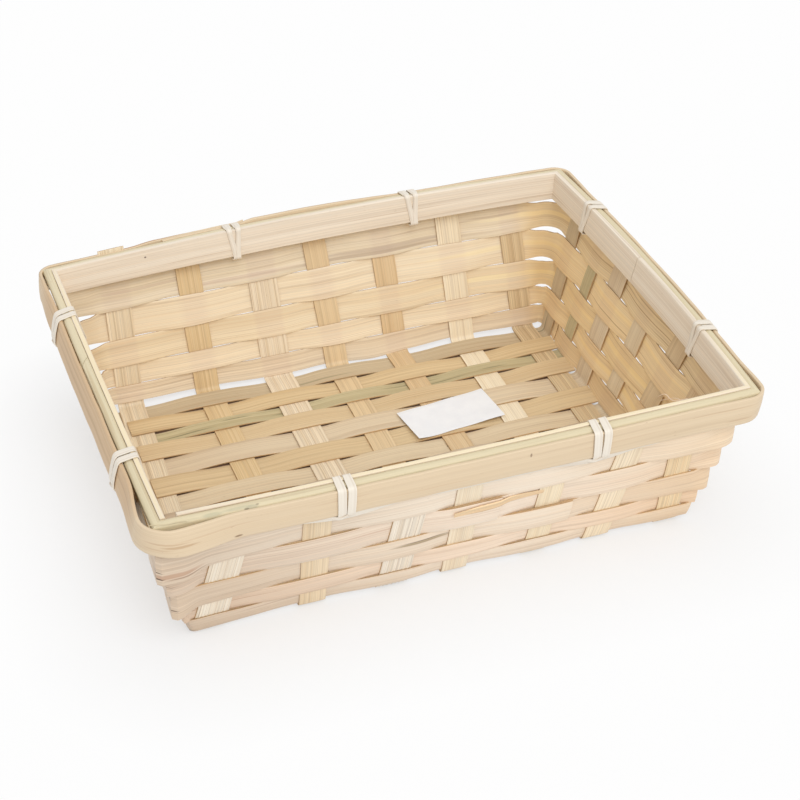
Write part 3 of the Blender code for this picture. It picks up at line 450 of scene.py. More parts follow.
def bamboo(name, pale, deep, seed, marks=0.3, lines=0.04, hairs=0.14, stains=0.2, sheen=0.5, tints=(),
           places=()):
    """Split bamboo: long straight streaks between two tones, fine fibres, dark hairlines and brown marks.

    Each tint is an attribute of the strip and the colour that it multiplies by. Each place is one mark.
    """
    material, tree, shader = new_finish(name)
    uv = own_map(tree)
    streaks, broad, fibres, cloud, hairlines, specks, blotches = [
        grain(tree, uv, seed + shift, *size) for shift, *size in GRAINS]
    share = blend_colour(tree, 0.45, spread(tree, streaks, 0.32, 0.68), spread(tree, broad, 0.34, 0.66))
    share = blend_colour(tree, 0.22, share, spread(tree, cloud, 0.3, 0.7))
    colour = blend_colour(tree, share, tone(*pale), tone(*deep))
    dark_fibres = spread(tree, fibres, 0.34, 0.64, 1 - 2.0 * lines, 1 + 0.8 * lines)
    colour = blend_colour(tree, 1.0, colour, dark_fibres, "MULTIPLY")
    for flaw, low, high, strength in ((blotches, 0.60, 0.74, stains), (hairlines, 0.61, 0.70, hairs),
                                      (specks, 0.74, 0.84, marks)):
        colour = blend_colour(tree, spread(tree, flaw, low, high, 0, strength), colour, tone(*FLAW_TONE))
    for place in places:
        colour = single_mark(tree, uv, colour, place)
    for attribute, tint in tints:
        here = add_node(tree, "ShaderNodeAttribute", attribute_name=attribute).outputs["Fac"]
        tinted = blend_colour(tree, 1.0, colour, tone(*tint), "MULTIPLY")
        colour = blend_colour(tree, here, colour, tinted)
    feed(tree, shader.inputs["Base Color"], colour)
    feed(tree, shader.inputs["Roughness"], spread(tree, streaks, 0.3, 0.7, sheen - 0.06, sheen + 0.1))
    add_bump(tree, shader, fibres, GRAIN_BUMP, GRAIN_DEPTH)
    return material


def plain_select(piece):
    """Select one piece alone."""
    bpy.ops.object.select_all(action="DESELECT")
    piece.select_set(True)
    bpy.context.view_layer.objects.active = piece


def add_grid(name, columns, steps):
    bpy.ops.object.select_all(action="DESELECT")
    bpy.ops.mesh.primitive_grid_add(x_subdivisions=columns, y_subdivisions=steps, size=2)
    piece = bpy.context.object
    piece.name = name
    piece.data.name = name
    return piece


def runs_along(stations, *spot):
    """How far along its course each station lies."""
    points = [put(station(*spot)) for station in stations]
    runs = [0]
    for first, second in zip(points, points[1:]):
        runs.append(runs[-1] + (second - first).length / MM)
    return runs


def map_grid(mesh, places, shades):
    """Lay a grid's own map and its shades. Each place is a step, a run along and a run across."""
    uv = mesh.uv_layers.active
    uv.name = "UVMap"
    for loop in mesh.loops:
        uv.data[loop.index].uv = places[loop.vertex_index][1:]
    for name, values in (shades or {}).items():
        here = [values[place[0]] for place in places]
        mesh.attributes.new(name, "FLOAT", "POINT").data.foreach_set("value", here)


def lay_grid(name, stations, across, crown=0.12, ridges=0, shades=None):
    """A grid laid along a course. A station turns a place across and a lift into a point.

    Shades are lists by station of how far a tint holds there, most of them painted shade and painted glow.
    """
    steps = len(stations) - 1
    piece = add_grid(name, across, steps)
    runs = runs_along(stations, 0, 0)
    places = []
    for spot in piece.data.vertices:
        share = spot.co.x
        step = round((spot.co.y + 1) / 2 * steps)
        lift = crown * (1 - share * share)
        if ridges:
            lift += 0.1 * cos(share * ridges * pi + 0.8 * waver(runs[step], 3, 60))
        station = stations[step]
        spot.co = put(station(share, lift))
        width = (put(station(1, 0)) - put(station(-1, 0))).length / MM
        places.append((step, runs[step], share * width / 2))
    map_grid(piece.data, places, shades)
    return piece


def apply_modifier(piece, kind, **settings):
    """Shape the selected piece with one modifier and apply it."""
    modifier = piece.modifiers.new("shaping", kind)
    for name, value in settings.items():
        setattr(modifier, name, value)
    bpy.ops.object.modifier_apply(modifier=modifier.name)


def thicken(piece, thickness, edge=0.12, faces=1):
    """Give a laid grid its thickness and soften its edges. With three faces, the inner face, the outer face
    and the cut edges each take a finish."""
    plain_select(piece)
    for number in range(faces):
        piece.data.materials.append(None)
    slots = {"material_offset": 1, "material_offset_rim": 2} if faces == 3 else {}
    apply_modifier(piece, "SOLIDIFY", thickness=thickness * MM, offset=0, use_even_offset=True, **slots)
    apply_modifier(piece, "BEVEL", width=edge * MM, segments=2, limit_method="ANGLE", angle_limit=radians(50))
    bpy.ops.object.shade_smooth_by_angle(angle=radians(40))


def join(pieces):
    """Join pieces into the first one."""
    plain_select(pieces[0])
    for piece in pieces[1:]:
        piece.select_set(True)
    bpy.ops.object.join()
    return pieces[0]


def put_finishes(piece, materials):
    while len(piece.data.materials) < len(materials):
        piece.data.materials.append(None)
    for number, material in enumerate(materials):
        piece.data.materials[number] = material


def finish_piece(piece, materials, node):
    """Give a piece its finishes and its body, and hide the node that it stands for."""
    put_finishes(piece, materials)
    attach(piece, "root")
    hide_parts(node)


def bend(reach_at, level):
    """Points and outward normals where a strip turns up from the floor into a wall that leans outwards."""
    reach = reach_at(level)
    lean = (reach_at(RIM_BOTTOM) - reach) / (RIM_BOTTOM - level)
    turn = atan2(1, lean)
    start = reach - BEND_RADIUS * tan(turn / 2)
    points = []
    steps = 6
    for step in range(steps + 1):
        angle = turn * step / steps
        points.append((start + BEND_RADIUS * sin(angle), level + BEND_RADIUS * (1 - cos(angle)),
                       sin(angle), -cos(angle)))
    return points


def weave_sign(ring, row):
    """One where a row passes outside a stake, and minus one where it passes inside."""
    return 1 if (ring + row) % 2 == 0 else -1


def row_span(row):
    """The lower and the upper edge of a row. Rows are counted from the top."""
    return ROW_EDGES[ROWS - 1 - row], ROW_EDGES[ROWS - row]


def stake_rise(reach_at, level, top, ring):
    """The bend and the wall above it, up to a stake's end: out, up and the outward normal."""
    points = bend(reach_at, level)
    low = points[-1][1]
    lean = (reach_at(RIM_BOTTOM) - reach_at(level)) / (RIM_BOTTOM - level)
    count = ceil((RIM_BOTTOM - low) / STEP_ALONG)
    heights = [mix(low, RIM_BOTTOM, step / count) for step in range(1, count + 1)]
    heights += [mix(RIM_BOTTOM, top, step / 5) for step in range(1, 6)]
    for height in heights:
        slope = RIM_LEAN if height > RIM_BOTTOM else lean
        length = hypot(1, slope)
        level_here = 0
        for row in range(ROWS):
            row_low, row_high = row_span(row)
            if row_low < height < row_high:
                phase = pi * (height - row_low) / (row_high - row_low)
                level_here = -weave_sign(ring, row) * STAKE_WAVE * sin(phase)
        points.append((reach_at(height) + level_here, height, 1 / length, -slope / length))
    return points


def cross_width(index):
    return CROSS_WIDTH * CROSS_WIDTH_SHARES[index]


def long_width(index):
    return LONG_WIDTH * LONG_WIDTH_SHARES[index]


def cross_stake_x(index, side, z):
    foot = CROSS_FRONT_FOOT if side == FRONT else CROSS_BACK_FOOT
    rim = CROSS_FRONT_RIM if side == FRONT else CROSS_BACK_RIM
    return mix(foot[index] * FOOT_LENGTH / 2, rim[index] * RIDGE_LENGTH / 2, z / HEIGHT)


def cross_floor_x(index, y):
    share = (y + FOOT_WIDTH / 2) / FOOT_WIDTH
    return mix(cross_stake_x(index, FRONT, 0), cross_stake_x(index, BACK, 0), share)


def long_stake_y(stake, side, z):
    foot = LONG_LEFT_FOOT if side == LEFT else LONG_RIGHT_FOOT
    rim = STAKE_LEFT_RIM if side == LEFT else STAKE_RIGHT_RIM
    return mix(foot[2 * stake] * FOOT_WIDTH / 2, rim[stake] * RIDGE_WIDTH / 2, z / HEIGHT)


def long_floor_y(index, x):
    share = (x + FOOT_LENGTH / 2) / FOOT_LENGTH
    return mix(LONG_LEFT_FOOT[index], LONG_RIGHT_FOOT[index], share) * FOOT_WIDTH / 2


def flat_cosine(phase):
    """A cosine with broader crests."""
    return tanh(1.3 * cos(phase)) / tanh(1.3)


def wave_between(crossings, place):
    """The weave's level at a place, from crossings given as places and signs in order."""
    if place <= crossings[0][0]:
        return crossings[0][1]
    for (first, sign), (second, following) in zip(crossings, crossings[1:]):
        if place <= second:
            phase = pi * (place - first) / (second - first)
            return sign * flat_cosine(phase) if following != sign else sign
    return crossings[-1][1]


def strip_stations(path, width, seed, edge=0.25, wider_front=0.0):
    """Stations of a flat strip whose width and edges waver a little. It may widen on the front wall."""
    stations = []
    run = 0
    last = None
    for middle, sideways, outward in path:
        middle = Vector(middle)
        run += (middle - last).length if last else 0
        last = middle
        half = width / 2 * (1 + wider_front * ramp((-middle.y - 50) / 25))
        right = half + edge * waver(run, seed, 22)
        left = half + edge * waver(run, seed + 0.5, 22)
        drift = 0.3 * waver(run, seed + 0.25, 60)

        def station(share, lift, middle=middle, side=Vector(sideways), face=Vector(outward),
                    right=right, left=left, drift=drift):
            reach = drift + (share * right if share > 0 else share * left)
            return middle + side * reach + face * lift
        stations.append(station)
    return stations


def cross_strip(index):
    """Stations of a cross strip: down the front wall, across the floor and up the back wall."""
    top = HEIGHT - STAKE_END_DROP
    front = stake_rise(half_y, FLOOR_MIDDLE, top, index)
    back = stake_rise(half_y, FLOOR_MIDDLE, HEIGHT + PROUD_END if index == 0 else top, LEFT_RING - 1 - index)

    def wall(points, side, way):
        return [((cross_stake_x(index, side, up), way * out, up), (1, 0, 0), (0, way * normal_out, normal_up))
                for out, up, normal_out, normal_up in points]

    start, stop = -front[0][0], back[0][0]
    crossings = [(long_floor_y(number, cross_floor_x(index, 0)), weave_sign(number, index))
                 for number in reversed(range(LONGS))]
    path = wall(reversed(front), FRONT, -1)
    count = ceil((stop - start) / STEP_ALONG)
    for step in range(1, count):
        y = mix(start, stop, step / count)
        fade = between(0, 1, min(y - start, stop - y) / 6)
        level = FLOOR_MIDDLE + CROSS_WAVE * fade * wave_between(crossings, y)
        path.append(((cross_floor_x(index, y), y, level), (1, 0, 0), (0, 0, -1)))
    path += wall(back, BACK, 1)
    return strip_stations(path, cross_width(index), 1 + index, wider_front=0.16 if index == 0 else 0)


def long_strip(index):
    """Stations of a long strip: along the floor and, every second one, up both end walls."""
    stands = index % 2 == 0
    stake = index // 2
    level_low, top = FLOOR_MIDDLE - LONG_WAVE, HEIGHT - STAKE_END_DROP
    left = stake_rise(half_x, level_low, top, LEFT_RING + stake)
    right = stake_rise(half_x, level_low, top, BACK_RING - 1 - stake)

    def wall(points, side, way):
        return [((way * out, long_stake_y(stake, side, up), up), (0, -1, 0), (way * normal_out, 0, normal_up))
                for out, up, normal_out, normal_up in points]

    crossings = []
    for cross in range(CROSSES):
        y = long_floor_y(index, cross_floor_x(cross, 0))
        crossings.append((cross_floor_x(cross, y), -weave_sign(index, cross)))
    if stands:
        start, stop = -left[0][0], right[0][0]
    else:
        start, stop = -half_x(0) + FILLER_LEFT_END, half_x(0) - FILLER_RIGHT_END
    path = wall(reversed(left), LEFT, -1) if stands else []
    count = ceil((stop - start) / STEP_ALONG)
    for step in range(1 if stands else 0, count if stands else count + 1):
        x = mix(start, stop, step / count)
        level = FLOOR_MIDDLE + LONG_WAVE * wave_between(crossings, x)
        path.append(((x, long_floor_y(index, x), level), (0, -1, 0), (0, 0, -1)))
    path += wall(right, RIGHT, 1) if stands else []
    return strip_stations(path, long_width(index), 20 + index)


def split_sliver():
    """A sliver that has split off the top edge of the second row, between two stakes of the front wall."""
    stations = []
    start, stop = SLIVER_ENDS
    steps = 20
    for step in range(steps + 1):
        share = step / steps
        along = mix(start, stop, share)
        level = ROW_WAVE * flat_cosine(pi * ramp((along - start - 3) / (stop - start))) + SLIVER_OUT
        level += SLIVER_LAP_OUT * ramp((SLIVER_LAP_END - along) / 6)
        middle = mix(*SLIVER_HEIGHTS, share) + 0.5 * sin(pi * share)
        half = mix(1.0, 2.3, ramp(share * 2.6)) * (1 - 0.6 * share)
        stations.append(lambda across, lift, a=along, o=level, m=middle, h=half:
                        side_point(FRONT, a, o + lift, m + across * h))
    piece = lay_grid("sliver", stations, 4, 0.1)
    thicken(piece, SLIVER_THICKNESS, 2 * FIBRE_EDGE, faces=3)
    return piece


def ribbon(name, side, course, across, thickness, edge, crown=0.0):
    """A narrow strip along places on a wall: along, out and up, and half its width in each of these ways."""
    stations = []
    for along, out, up, half_along, half_out, half_up in course:
        def station(share, lift, a=along, o=out, u=up, half_a=half_along, half_o=half_out, half_u=half_up):
            return side_point(side, a + share * half_a, o + crown * (1 - share * share) + share * half_o,
                              u + share * half_u)
        stations.append(station)
    piece = lay_grid(name, stations, across, 0)
    thicken(piece, thickness, edge)
    return piece


def loose_fibre(name, side, points, width):
    """A thin torn fibre: places along, out and up on a wall, joined by a soft curve."""
    half = width / 2
    course = [(along, out, up, 0, 0.4 * half, half) for along, out, up in cut_corners(points, 3)]
    return ribbon(name, side, course, 2, FIBRE_THICKNESS, FIBRE_EDGE)


def stakes_round(z):
    """Every stake from the front left corner anticlockwise: its side, its place and its half width."""
    front = [(FRONT, cross_stake_x(index, FRONT, z), cross_width(index) / 2) for index in range(CROSSES)]
    right = [(RIGHT, long_stake_y(stake, RIGHT, z), long_width(2 * stake) / 2) for stake in range(LONGS // 2)]
    back = [(BACK, -cross_stake_x(index, BACK, z), cross_width(index) / 2) for index in range(CROSSES)]
    left = [(LEFT, -long_stake_y(stake, LEFT, z), long_width(2 * stake) / 2) for stake in range(LONGS // 2)]
    return front + right[::-1] + back[::-1] + left


def row_edge(edge, ring_place):
    """The height of the line between two rows at a place round the ring."""
    angle = 2 * pi * ring_place / STAKES
    spot = Vector((4.1 * cos(angle), 4.1 * sin(angle), 9.7 * edge))
    size = 0.6 if 0 < edge < ROWS else 0.4
    height = ROW_EDGES[edge] + size * noise.noise(spot) + 0.25 * size * noise.noise(2.3 * spot)
    for number, place, shift, reach in ROW_EDGE_SHIFTS:
        if number == edge:
            away = abs((ring_place - place + STAKES / 2) % STAKES - STAKES / 2)
            height += shift * ramp(1 - away / reach)
    return height


def wall_shades(place):
    """How far the painted warm glow of the right wall, the painted shade of the far left and the warmer tone
    of the far right hold at a place of a row.
    """
    x, y, z = place
    in_front = ramp((50 - y) / 120)
    # Painted shade: the rows grow darker towards the far left, where less light falls.
    far_left_shade = mix(between(0, 0.5, -x / 200), between(0, 1, (5 - x) / 115), in_front)
    return ramp((x - 88) / 14), far_left_shade, between(0, 1, (x - 30) / 70) * in_front


def row_stations(row):
    """Stations of one row: woven inside and outside the stakes in turn, its ends lapped over one stake."""
    low, high = row_span(row)
    stakes = stakes_round((low + high) / 2)
    stations = []
    shades = {"stake_backed_shade": [], "right_wall_glow": [], "far_left_shade": [], "far_right": []}

    def add_leg(index, from_share, to_share, extra_from=0.0, extra_to=0.0):
        """The stations from one stake to the next. The extra is how far a lapped end is pushed outwards."""
        side, place, half = stakes[index % STAKES]
        next_side, next_place, next_half = stakes[(index + 1) % STAKES]
        sign, next_sign = weave_sign(index, row), weave_sign(index + 1, row)
        radius = ROW_CORNER_RADII[row][side]
        foot = mix(low, high, ROW_CORNER_PLACES[row][side])
        here, beyond = half_x(foot), half_y(foot)
        if side in (RIGHT, LEFT):
            here, beyond = beyond, here
        if side == next_side:
            first = total = next_place - place
            arc = 0
        else:
            first = here - radius - place
            arc = radius * pi / 2
            total = first + arc + beyond - radius + next_place

        def station_at(share):
            distance = share * total
            level = ROW_WAVE * (sign if sign == next_sign else sign * flat_cosine(pi * share))
            level += mix(extra_from, extra_to, ease(share))
            upright = 0
            if side != next_side:
                clear = min(distance - half - 1, total - distance - next_half - 1)
                upright = ramp(clear / (0.2 * total))
            ring_place = (index + share) % STAKES
            lens = 0.2 * cos(2 * pi * share) + 0.2
            bottom = row_edge(ROWS - 1 - row, ring_place) - (lens / 2 if row < ROWS - 1 else 0)
            top = row_edge(ROWS - row, ring_place) + (lens / 2 if row > 0 else 0)

            def station(across, lift):
                z = mix(bottom, top, (across + 1) / 2)
                wall_z = mix(z, foot, upright)
                offset = level + lift
                if distance <= first or side == next_side:
                    return side_point(side, place + distance, offset, z, wall_z)
                if distance < first + arc:
                    return arc_point(side, radius, (distance - first) / arc, offset, z, wall_z)
                return side_point(next_side, radius - beyond + distance - first - arc, offset, z, wall_z)
            return station

        count = max(2, ceil(total * abs(to_share - from_share) / STEP_ALONG))
        for step in range(count):
            share = mix(from_share, to_share, step / count)
            station = station_at(share)
            stations.append(station)
            reach, near_sign = (half, sign) if share < 0.5 else (next_half, next_sign)
            from_stake = min(share, 1 - share) * total
            # Painted shade: where a stake backs the row, less light would shine through, so the inner face is
            # dimmed there.
            backed_shade = ramp((reach - from_stake) / 1.2 + 0.5) if near_sign < 0 else 0
            for name, value in zip(shades, (backed_shade, *wall_shades(station(0, 0)))):
                shades[name].append(value)

    lap = ROW_LAP_STAKES[row]
    add_leg(lap - 1 + STAKES, 1 - ROW_LAP_REACH, 1)
    for turn in range(STAKES):
        add_leg(lap + turn, 0, 1, 0, ROW_LAP_OUT if turn == STAKES - 1 else 0)
    add_leg(lap, 0, ROW_LAP_REACH, ROW_LAP_OUT, ROW_LAP_OUT)
    return stations, shades


def corners_of(side):
    """The numbers of the corners at the start and at the end of a side."""
    return (side - 1) % 4, side


def outer_out(side, along, z):
    """How far the outer lath stands off the wall: it swells towards the corners and leans out below."""
    start, end = corners_of(side)
    half = side_half(side)
    corner = end if along > 0 else start
    from_corner = half - OUTER_CORNER_RADII[corner] - abs(along)
    near = ramp(1 - from_corner / OUTER_SWELL_LENGTH)
    other = (side + 1) % 4 if along > 0 else (side - 1) % 4
    share = 0.5 * near
    stand = mix(OUTER_STANDS[side], OUTER_STANDS[other], share)
    return OUTER_SWELLS[corner] * near + stand * (OUTER_TOP - z) / OUTER_HEIGHT


def outer_corner_out(corner, z):
    """The same round the corner at the end of a side."""
    stand = mix(OUTER_STANDS[corner], OUTER_STANDS[(corner + 1) % 4], 0.5)
    return OUTER_SWELLS[corner] + stand * (OUTER_TOP - z) / OUTER_HEIGHT


def side_half(side):
    return TOP_HALF_X if side in (FRONT, BACK) else TOP_HALF_Y


def straight_along(side, along, z):
    """The place along a side, drawn in so that the straight part ends where its corner's arc starts."""
    half = half_x(z) if side in (FRONT, BACK) else half_y(z)
    start, end = corners_of(side)
    radius = OUTER_CORNER_RADII[end if along > 0 else start]
    return along * (half - radius) / (side_half(side) - radius)


def lath_run(start_side, start, end_side, end, slant=0.0):
    """Stations of a mitred lath from one place to another, anticlockwise."""
    stations = []
    sides = 4 if start_side == end_side and end < start else (end_side - start_side) % 4

    def cut_end(side, along):
        middle = (CORE_INSIDE + CORE_OUTSIDE) / 2
        return lambda offset, z: side_point(side, along + slant * (offset - middle) / 1.8, offset, z)

    for count in range(sides + 1):
        side = (start_side + count) % 4
        half = side_half(side)
        first = start if count == 0 else -half
        last = end if count == sides else half
        if count == 0:
            stations.append(cut_end(side, start))
        steps = ceil(2 * half / 4)
        for step in range(1, steps):
            along = half * (2 * step / steps - 1)
            room = 8 if slant or abs(along) > half - 10 else 2
            if first + room < along < last - room:
                stations.append(partial(side_point, side, along))
        if count < sides:
            stations.append(partial(corner_point, side))
    stations.append(cut_end(end_side, end))
    return stations


def outer_lift(side, along):
    """How far the outer lath stands above its even height: it has slipped up beside its lap."""
    if side != BACK:
        return 0
    return OUTER_SLIP * ramp((32 - along) / 8) * ramp((along + 45) / 50)


def outer_run():
    """Stations of the outer lath, from the outer layer of its lap on the back, round to the inner layer."""
    stations = []
    left_side_shade = []

    def flat(side, along, extra=0.0):
        lift = outer_lift(side, along)
        return lambda offset, z: side_point(side, straight_along(side, along, z),
                                            offset + extra + outer_out(side, along, z), z + lift)

    def rounded(corner, turn):
        return lambda offset, z: arc_point(corner, OUTER_CORNER_RADII[corner], turn,
                                           offset + outer_corner_out(corner, z), z)

    straight = side_half(BACK) - OUTER_CORNER_RADII[BACK]
    along = OUTER_LAP_START
    while along < straight:
        extra = OUTER_LAP_STEP * ramp((OUTER_LAP_END + 14 - along) / 12)
        stations.append(flat(BACK, along, extra))
        along += 3
    for side in (LEFT, FRONT, RIGHT, BACK):
        start, end = corners_of(side)
        stations += [rounded(start, step / 8) for step in range(9)]
        left_side_shade += [0.0] * (len(stations) - len(left_side_shade))
        along = -side_half(side) + OUTER_CORNER_RADII[start] + 3
        last = OUTER_LAP_END if side == BACK else side_half(side) - OUTER_CORNER_RADII[end]
        while along < last - 1:
            stations.append(flat(side, along))
            from_end = min(along + side_half(side), side_half(side) - along)
            # Painted shade on the left side of the outer lath, fading out towards its corners.
            left_side_shade.append(ramp(from_end / 25) if side == LEFT else 0.0)
            along += 3
    stations.append(flat(BACK, OUTER_LAP_END))
    left_side_shade.append(0.0)
    return stations, {"left_side_shade": left_side_shade}


def rounded_profile(inside, outside, bottom, top, radius, crown=0.0):
    """Points round a lath's section, anticlockwise: a rectangle with round edges and swelled faces."""
    points = []
    corners = ((outside - radius, bottom + radius, -90), (outside - radius, top - radius, 0),
               (inside + radius, top - radius, 90), (inside + radius, bottom + radius, 180))
    for number, (offset, z, start) in enumerate(corners):
        for step in range(4):
            angle = radians(start + 30 * step)
            points.append((offset + radius * cos(angle), z + radius * sin(angle)))
        if number == 0:
            for step in range(1, 6):
                share = step / 6
                points.append((outside + crown * sin(pi * share), mix(bottom + radius, top - radius, share)))
        if number == 2:
            for step in range(1, 4):
                points.append((inside, mix(top - radius, bottom + radius, step / 4)))
    return points


def core_profile():
    """The core lath's section: its outer top edge is the sloping rind."""
    top = HEIGHT - 0.5
    skin = mix(CORE_OUTSIDE, CORE_INSIDE, 0.45)
    corners = ((CORE_INSIDE, RIM_BOTTOM), (CORE_OUTSIDE, RIM_BOTTOM), (CORE_OUTSIDE, HEIGHT - 1.9),
               (CORE_OUTSIDE - 0.35, HEIGHT - 1.25), (skin, top), (mix(skin, CORE_INSIDE, 0.5), top + 0.05),
               (CORE_INSIDE + 0.25, top), (CORE_INSIDE, top - 0.25))
    points = []
    for first, second in zip(corners, corners[1:] + corners[:1]):
        length = hypot(second[0] - first[0], second[1] - first[1])
        count = max(1, round(length / 2.5))
        for step in range(count):
            points.append((mix(first[0], second[0], step / count), mix(first[1], second[1], step / count)))
    return points


def roll_lath(name, stations, profile, seed, rough=0.12, shades=None):
    """A lath: a grid rolled round its section along its course, closed and capped at its ends."""
    count = len(profile)
    steps = len(stations) - 1
    piece = add_grid(name, count, steps)
    mesh = piece.data
    around = [0]
    for first, second in zip(profile, profile[1:] + profile[:1]):
        around.append(around[-1] + hypot(second[0] - first[0], second[1] - first[1]))
    runs = runs_along(stations, *profile[0])
    places = []
    for spot in mesh.vertices:
        number = round((spot.co.x + 1) / 2 * count)
        step = round((spot.co.y + 1) / 2 * steps)
        offset, z = profile[number % count]
        run = runs[step]
        lift = rough * waver(run, seed, 35) + 0.5 * rough * waver(run, seed + 1, 9)
        out = 0.4 * rough * waver(run, seed + 2, 14)
        spot.co = put(stations[step](offset + out, z + lift))
        places.append((step, run, around[number]))
    map_grid(mesh, places, shades)
    plain_select(piece)
    bpy.ops.object.mode_set(mode="EDIT")
    bpy.ops.mesh.select_all(action="SELECT")
    bpy.ops.mesh.remove_doubles(threshold=0.002 * MM)
    bpy.ops.mesh.fill_holes(sides=0)
    bpy.ops.mesh.select_all(action="SELECT")
    bpy.ops.mesh.normals_make_consistent(inside=False)
    bpy.ops.object.mode_set(mode="OBJECT")
    for face in mesh.polygons:
        if len(face.vertices) > 4:
            for loop in face.loop_indices:
                spot = mesh.vertices[mesh.loops[loop].vertex_index].co / MM
                mesh.uv_layers.active.data[loop].uv = (spot.x + spot.y, spot.z)
    bpy.ops.object.shade_smooth_by_angle(angle=radians(40))
    return piece


def cut_corners(points, rounds):
    """Round a run of points by cutting its corners again and again."""
    for _ in range(rounds):
        softer = [points[0]]
        for first, second in zip(points, points[1:]):
            softer.append([mix(a, b, 0.25) for a, b in zip(first, second)])
            softer.append([mix(a, b, 0.75) for a, b in zip(first, second)])
        softer.append(points[-1])
        points = softer
    return points


def tie(number, side, centre):
    """Two turns of the binding strip round the rim, closing up towards each other below."""
    pieces = []
    for turn in range(2):
        way = turn - 0.5
        here = centre + way * LASH_PITCH + 0.25 * waver(number, turn + 5, 1.7)
        low = centre + way * LASH_PITCH * 0.86
        inner = centre + way * (0.9 if side in (BACK, RIGHT) else LASH_PITCH)

        def out(z):
            return OUTER_OUTSIDE + outer_out(side, centre, z) + 0.3
        points = [(inner, 0.0, 54.9, 1), (inner, -4.0, 55.0, 1), (inner, -6.9, 55.3, 1),
                  (inner, -6.6, 58.0, 1), (mix(inner, here, 0.8), -6.55, 65.0, 0.85),
                  (here, -6.8, 68.05, 0.9), (here, -4.4, 67.85, 0.95), (here, -2.0, 67.4, 1),
                  (here, out(67) + 0.1, 66.9, 1),
                  (here, out(64) + 0.35, 64.0, 1), (mix(here, low, 0.5), out(60) + 0.45, 60.0, 1),
                  (low, out(56) + 0.2, 55.6, 1), (low, out(56) - 0.2, 54.4, 1), (low, 1.0, 54.7, 1)]
        course = []
        for along, offset, z, wide in cut_corners(points, 3):
            narrow = 0.78 if offset < -5 and side in (BACK, RIGHT) else 1
            course.append((along, offset, z, LASH_WIDTH / 2 * wide * narrow, 0, 0))
        pieces.append(ribbon("tie", side, course, 4, LASH_THICKNESS, LASH_EDGE, 0.12))
    if side in (FRONT, LEFT):
        foot = OUTER_OUTSIDE + outer_out(side, centre, 56)
        end = [(centre - 5.5, foot - 1.0, 54.6), (centre - 2.4, foot + 0.9, 54.2),
               (centre - 0.2, foot + 1.0, 55.2), (centre + 0.9, foot + 0.2, 54.0)]
        course = [(*spot, 0.25, 0, 0.7) for spot in cut_corners(end, 3)]
        pieces.append(ribbon("twisted_end", side, course, 3, RUN_THICKNESS, LASH_EDGE))
    return pieces


def near_tie(side, along):
    """One at a tie, down to nought away from it."""
    away = min([abs(along - centre) for tie_side, centre in TIE_PLACES if tie_side == side])
    return ramp(1 - away / 30)


def run_low(side, along):
    """How far the binding run hangs below the outer lath: at each tie, and less on the right of the front."""
    low = near_tie(side, along)
    if side == FRONT:
        shown = ramp((along + 24) / 14) * ramp((88 - along) / 16)
        low = max(low, RUN_SHOWN * shown)
    return low


def binding_run(seed):
    """The binding strip where it runs on from tie to tie, edge up, half hidden by the outer lath."""
    stations = []
    run = 0

    def hang(spot, middle, out, lean):
        stations.append(lambda share, lift: spot(out - 0.15 * share - lean * (1 + share),
                                                 middle + share * RUN_HALF_WIDTH))

    for side in range(4):
        start, end = corners_of(side)
        first = -side_half(side) + OUTER_CORNER_RADII[start]
        last = side_half(side) - OUTER_CORNER_RADII[end]
        count = ceil((last - first) / 3)
        for step in range(1, count):
            along = mix(first, last, step / count)
            run += (last - first) / count
            near = run_low(side, along)
            lean = RUN_LEANS[along > 0] * ramp((abs(along) - 25) / 30) if side == LEFT else 0
            middle = RUN_HEIGHT - RUN_DIP * near + 0.3 * waver(run, seed, 30) + 0.4 * lean
            out = OUTER_INSIDE + outer_out(side, along, OUTER_BOTTOM) - RUN_THICKNESS + RUN_DIP_OUT * near
            hang(partial(side_point, side, straight_along(side, along, middle)), middle, out, lean)
        for step in range(9):
            run += 1.5
            lean = RUN_LEANS[1] * (1 - ease(step / 8)) if side == LEFT else 0
            middle = RUN_HEIGHT + 0.3 * waver(run, seed, 30) + 0.4 * lean
            out = OUTER_INSIDE + outer_corner_out(side, OUTER_BOTTOM) - RUN_THICKNESS
            spot = partial(arc_point, side, OUTER_CORNER_RADII[side], step / 8, wall_z=middle)
            hang(spot, middle, out, lean)
    piece = lay_grid("run", stations, 3, 0)
    thicken(piece, RUN_THICKNESS, LASH_EDGE)
    return piece


def paper_label():
    """The blank label: a thin sheet with round corners, a little curled at one end."""
    centre_x, centre_y = LABEL_MIDDLE
    stations = []
    steps = 40
    for step in range(steps + 1):
        x = -LABEL_LENGTH / 2 * cos(pi * step / steps)
        from_end = LABEL_LENGTH / 2 - abs(x)
        half = LABEL_WIDTH / 2
        if from_end < LABEL_ROUND:
            half -= LABEL_ROUND - (LABEL_ROUND ** 2 - (LABEL_ROUND - from_end) ** 2) ** 0.5
        curl = LABEL_CURL * between(0, 1, (-x - 8) / 12) ** 2

        def station(share, lift, x=x, half=half, curl=curl):
            y = share * half
            up = LABEL_LEVEL + curl * (0.6 - 0.4 * share) + 0.1 * sin(0.35 * x) * share
            return (centre_x + x * cos(LABEL_TURN) - y * sin(LABEL_TURN),
                    centre_y + x * sin(LABEL_TURN) + y * cos(LABEL_TURN), up)
        stations.append(station)
    piece = lay_grid("blank_label", stations, 10, 0)
    thicken(piece, LABEL_THICKNESS, FIBRE_EDGE)
    return piece


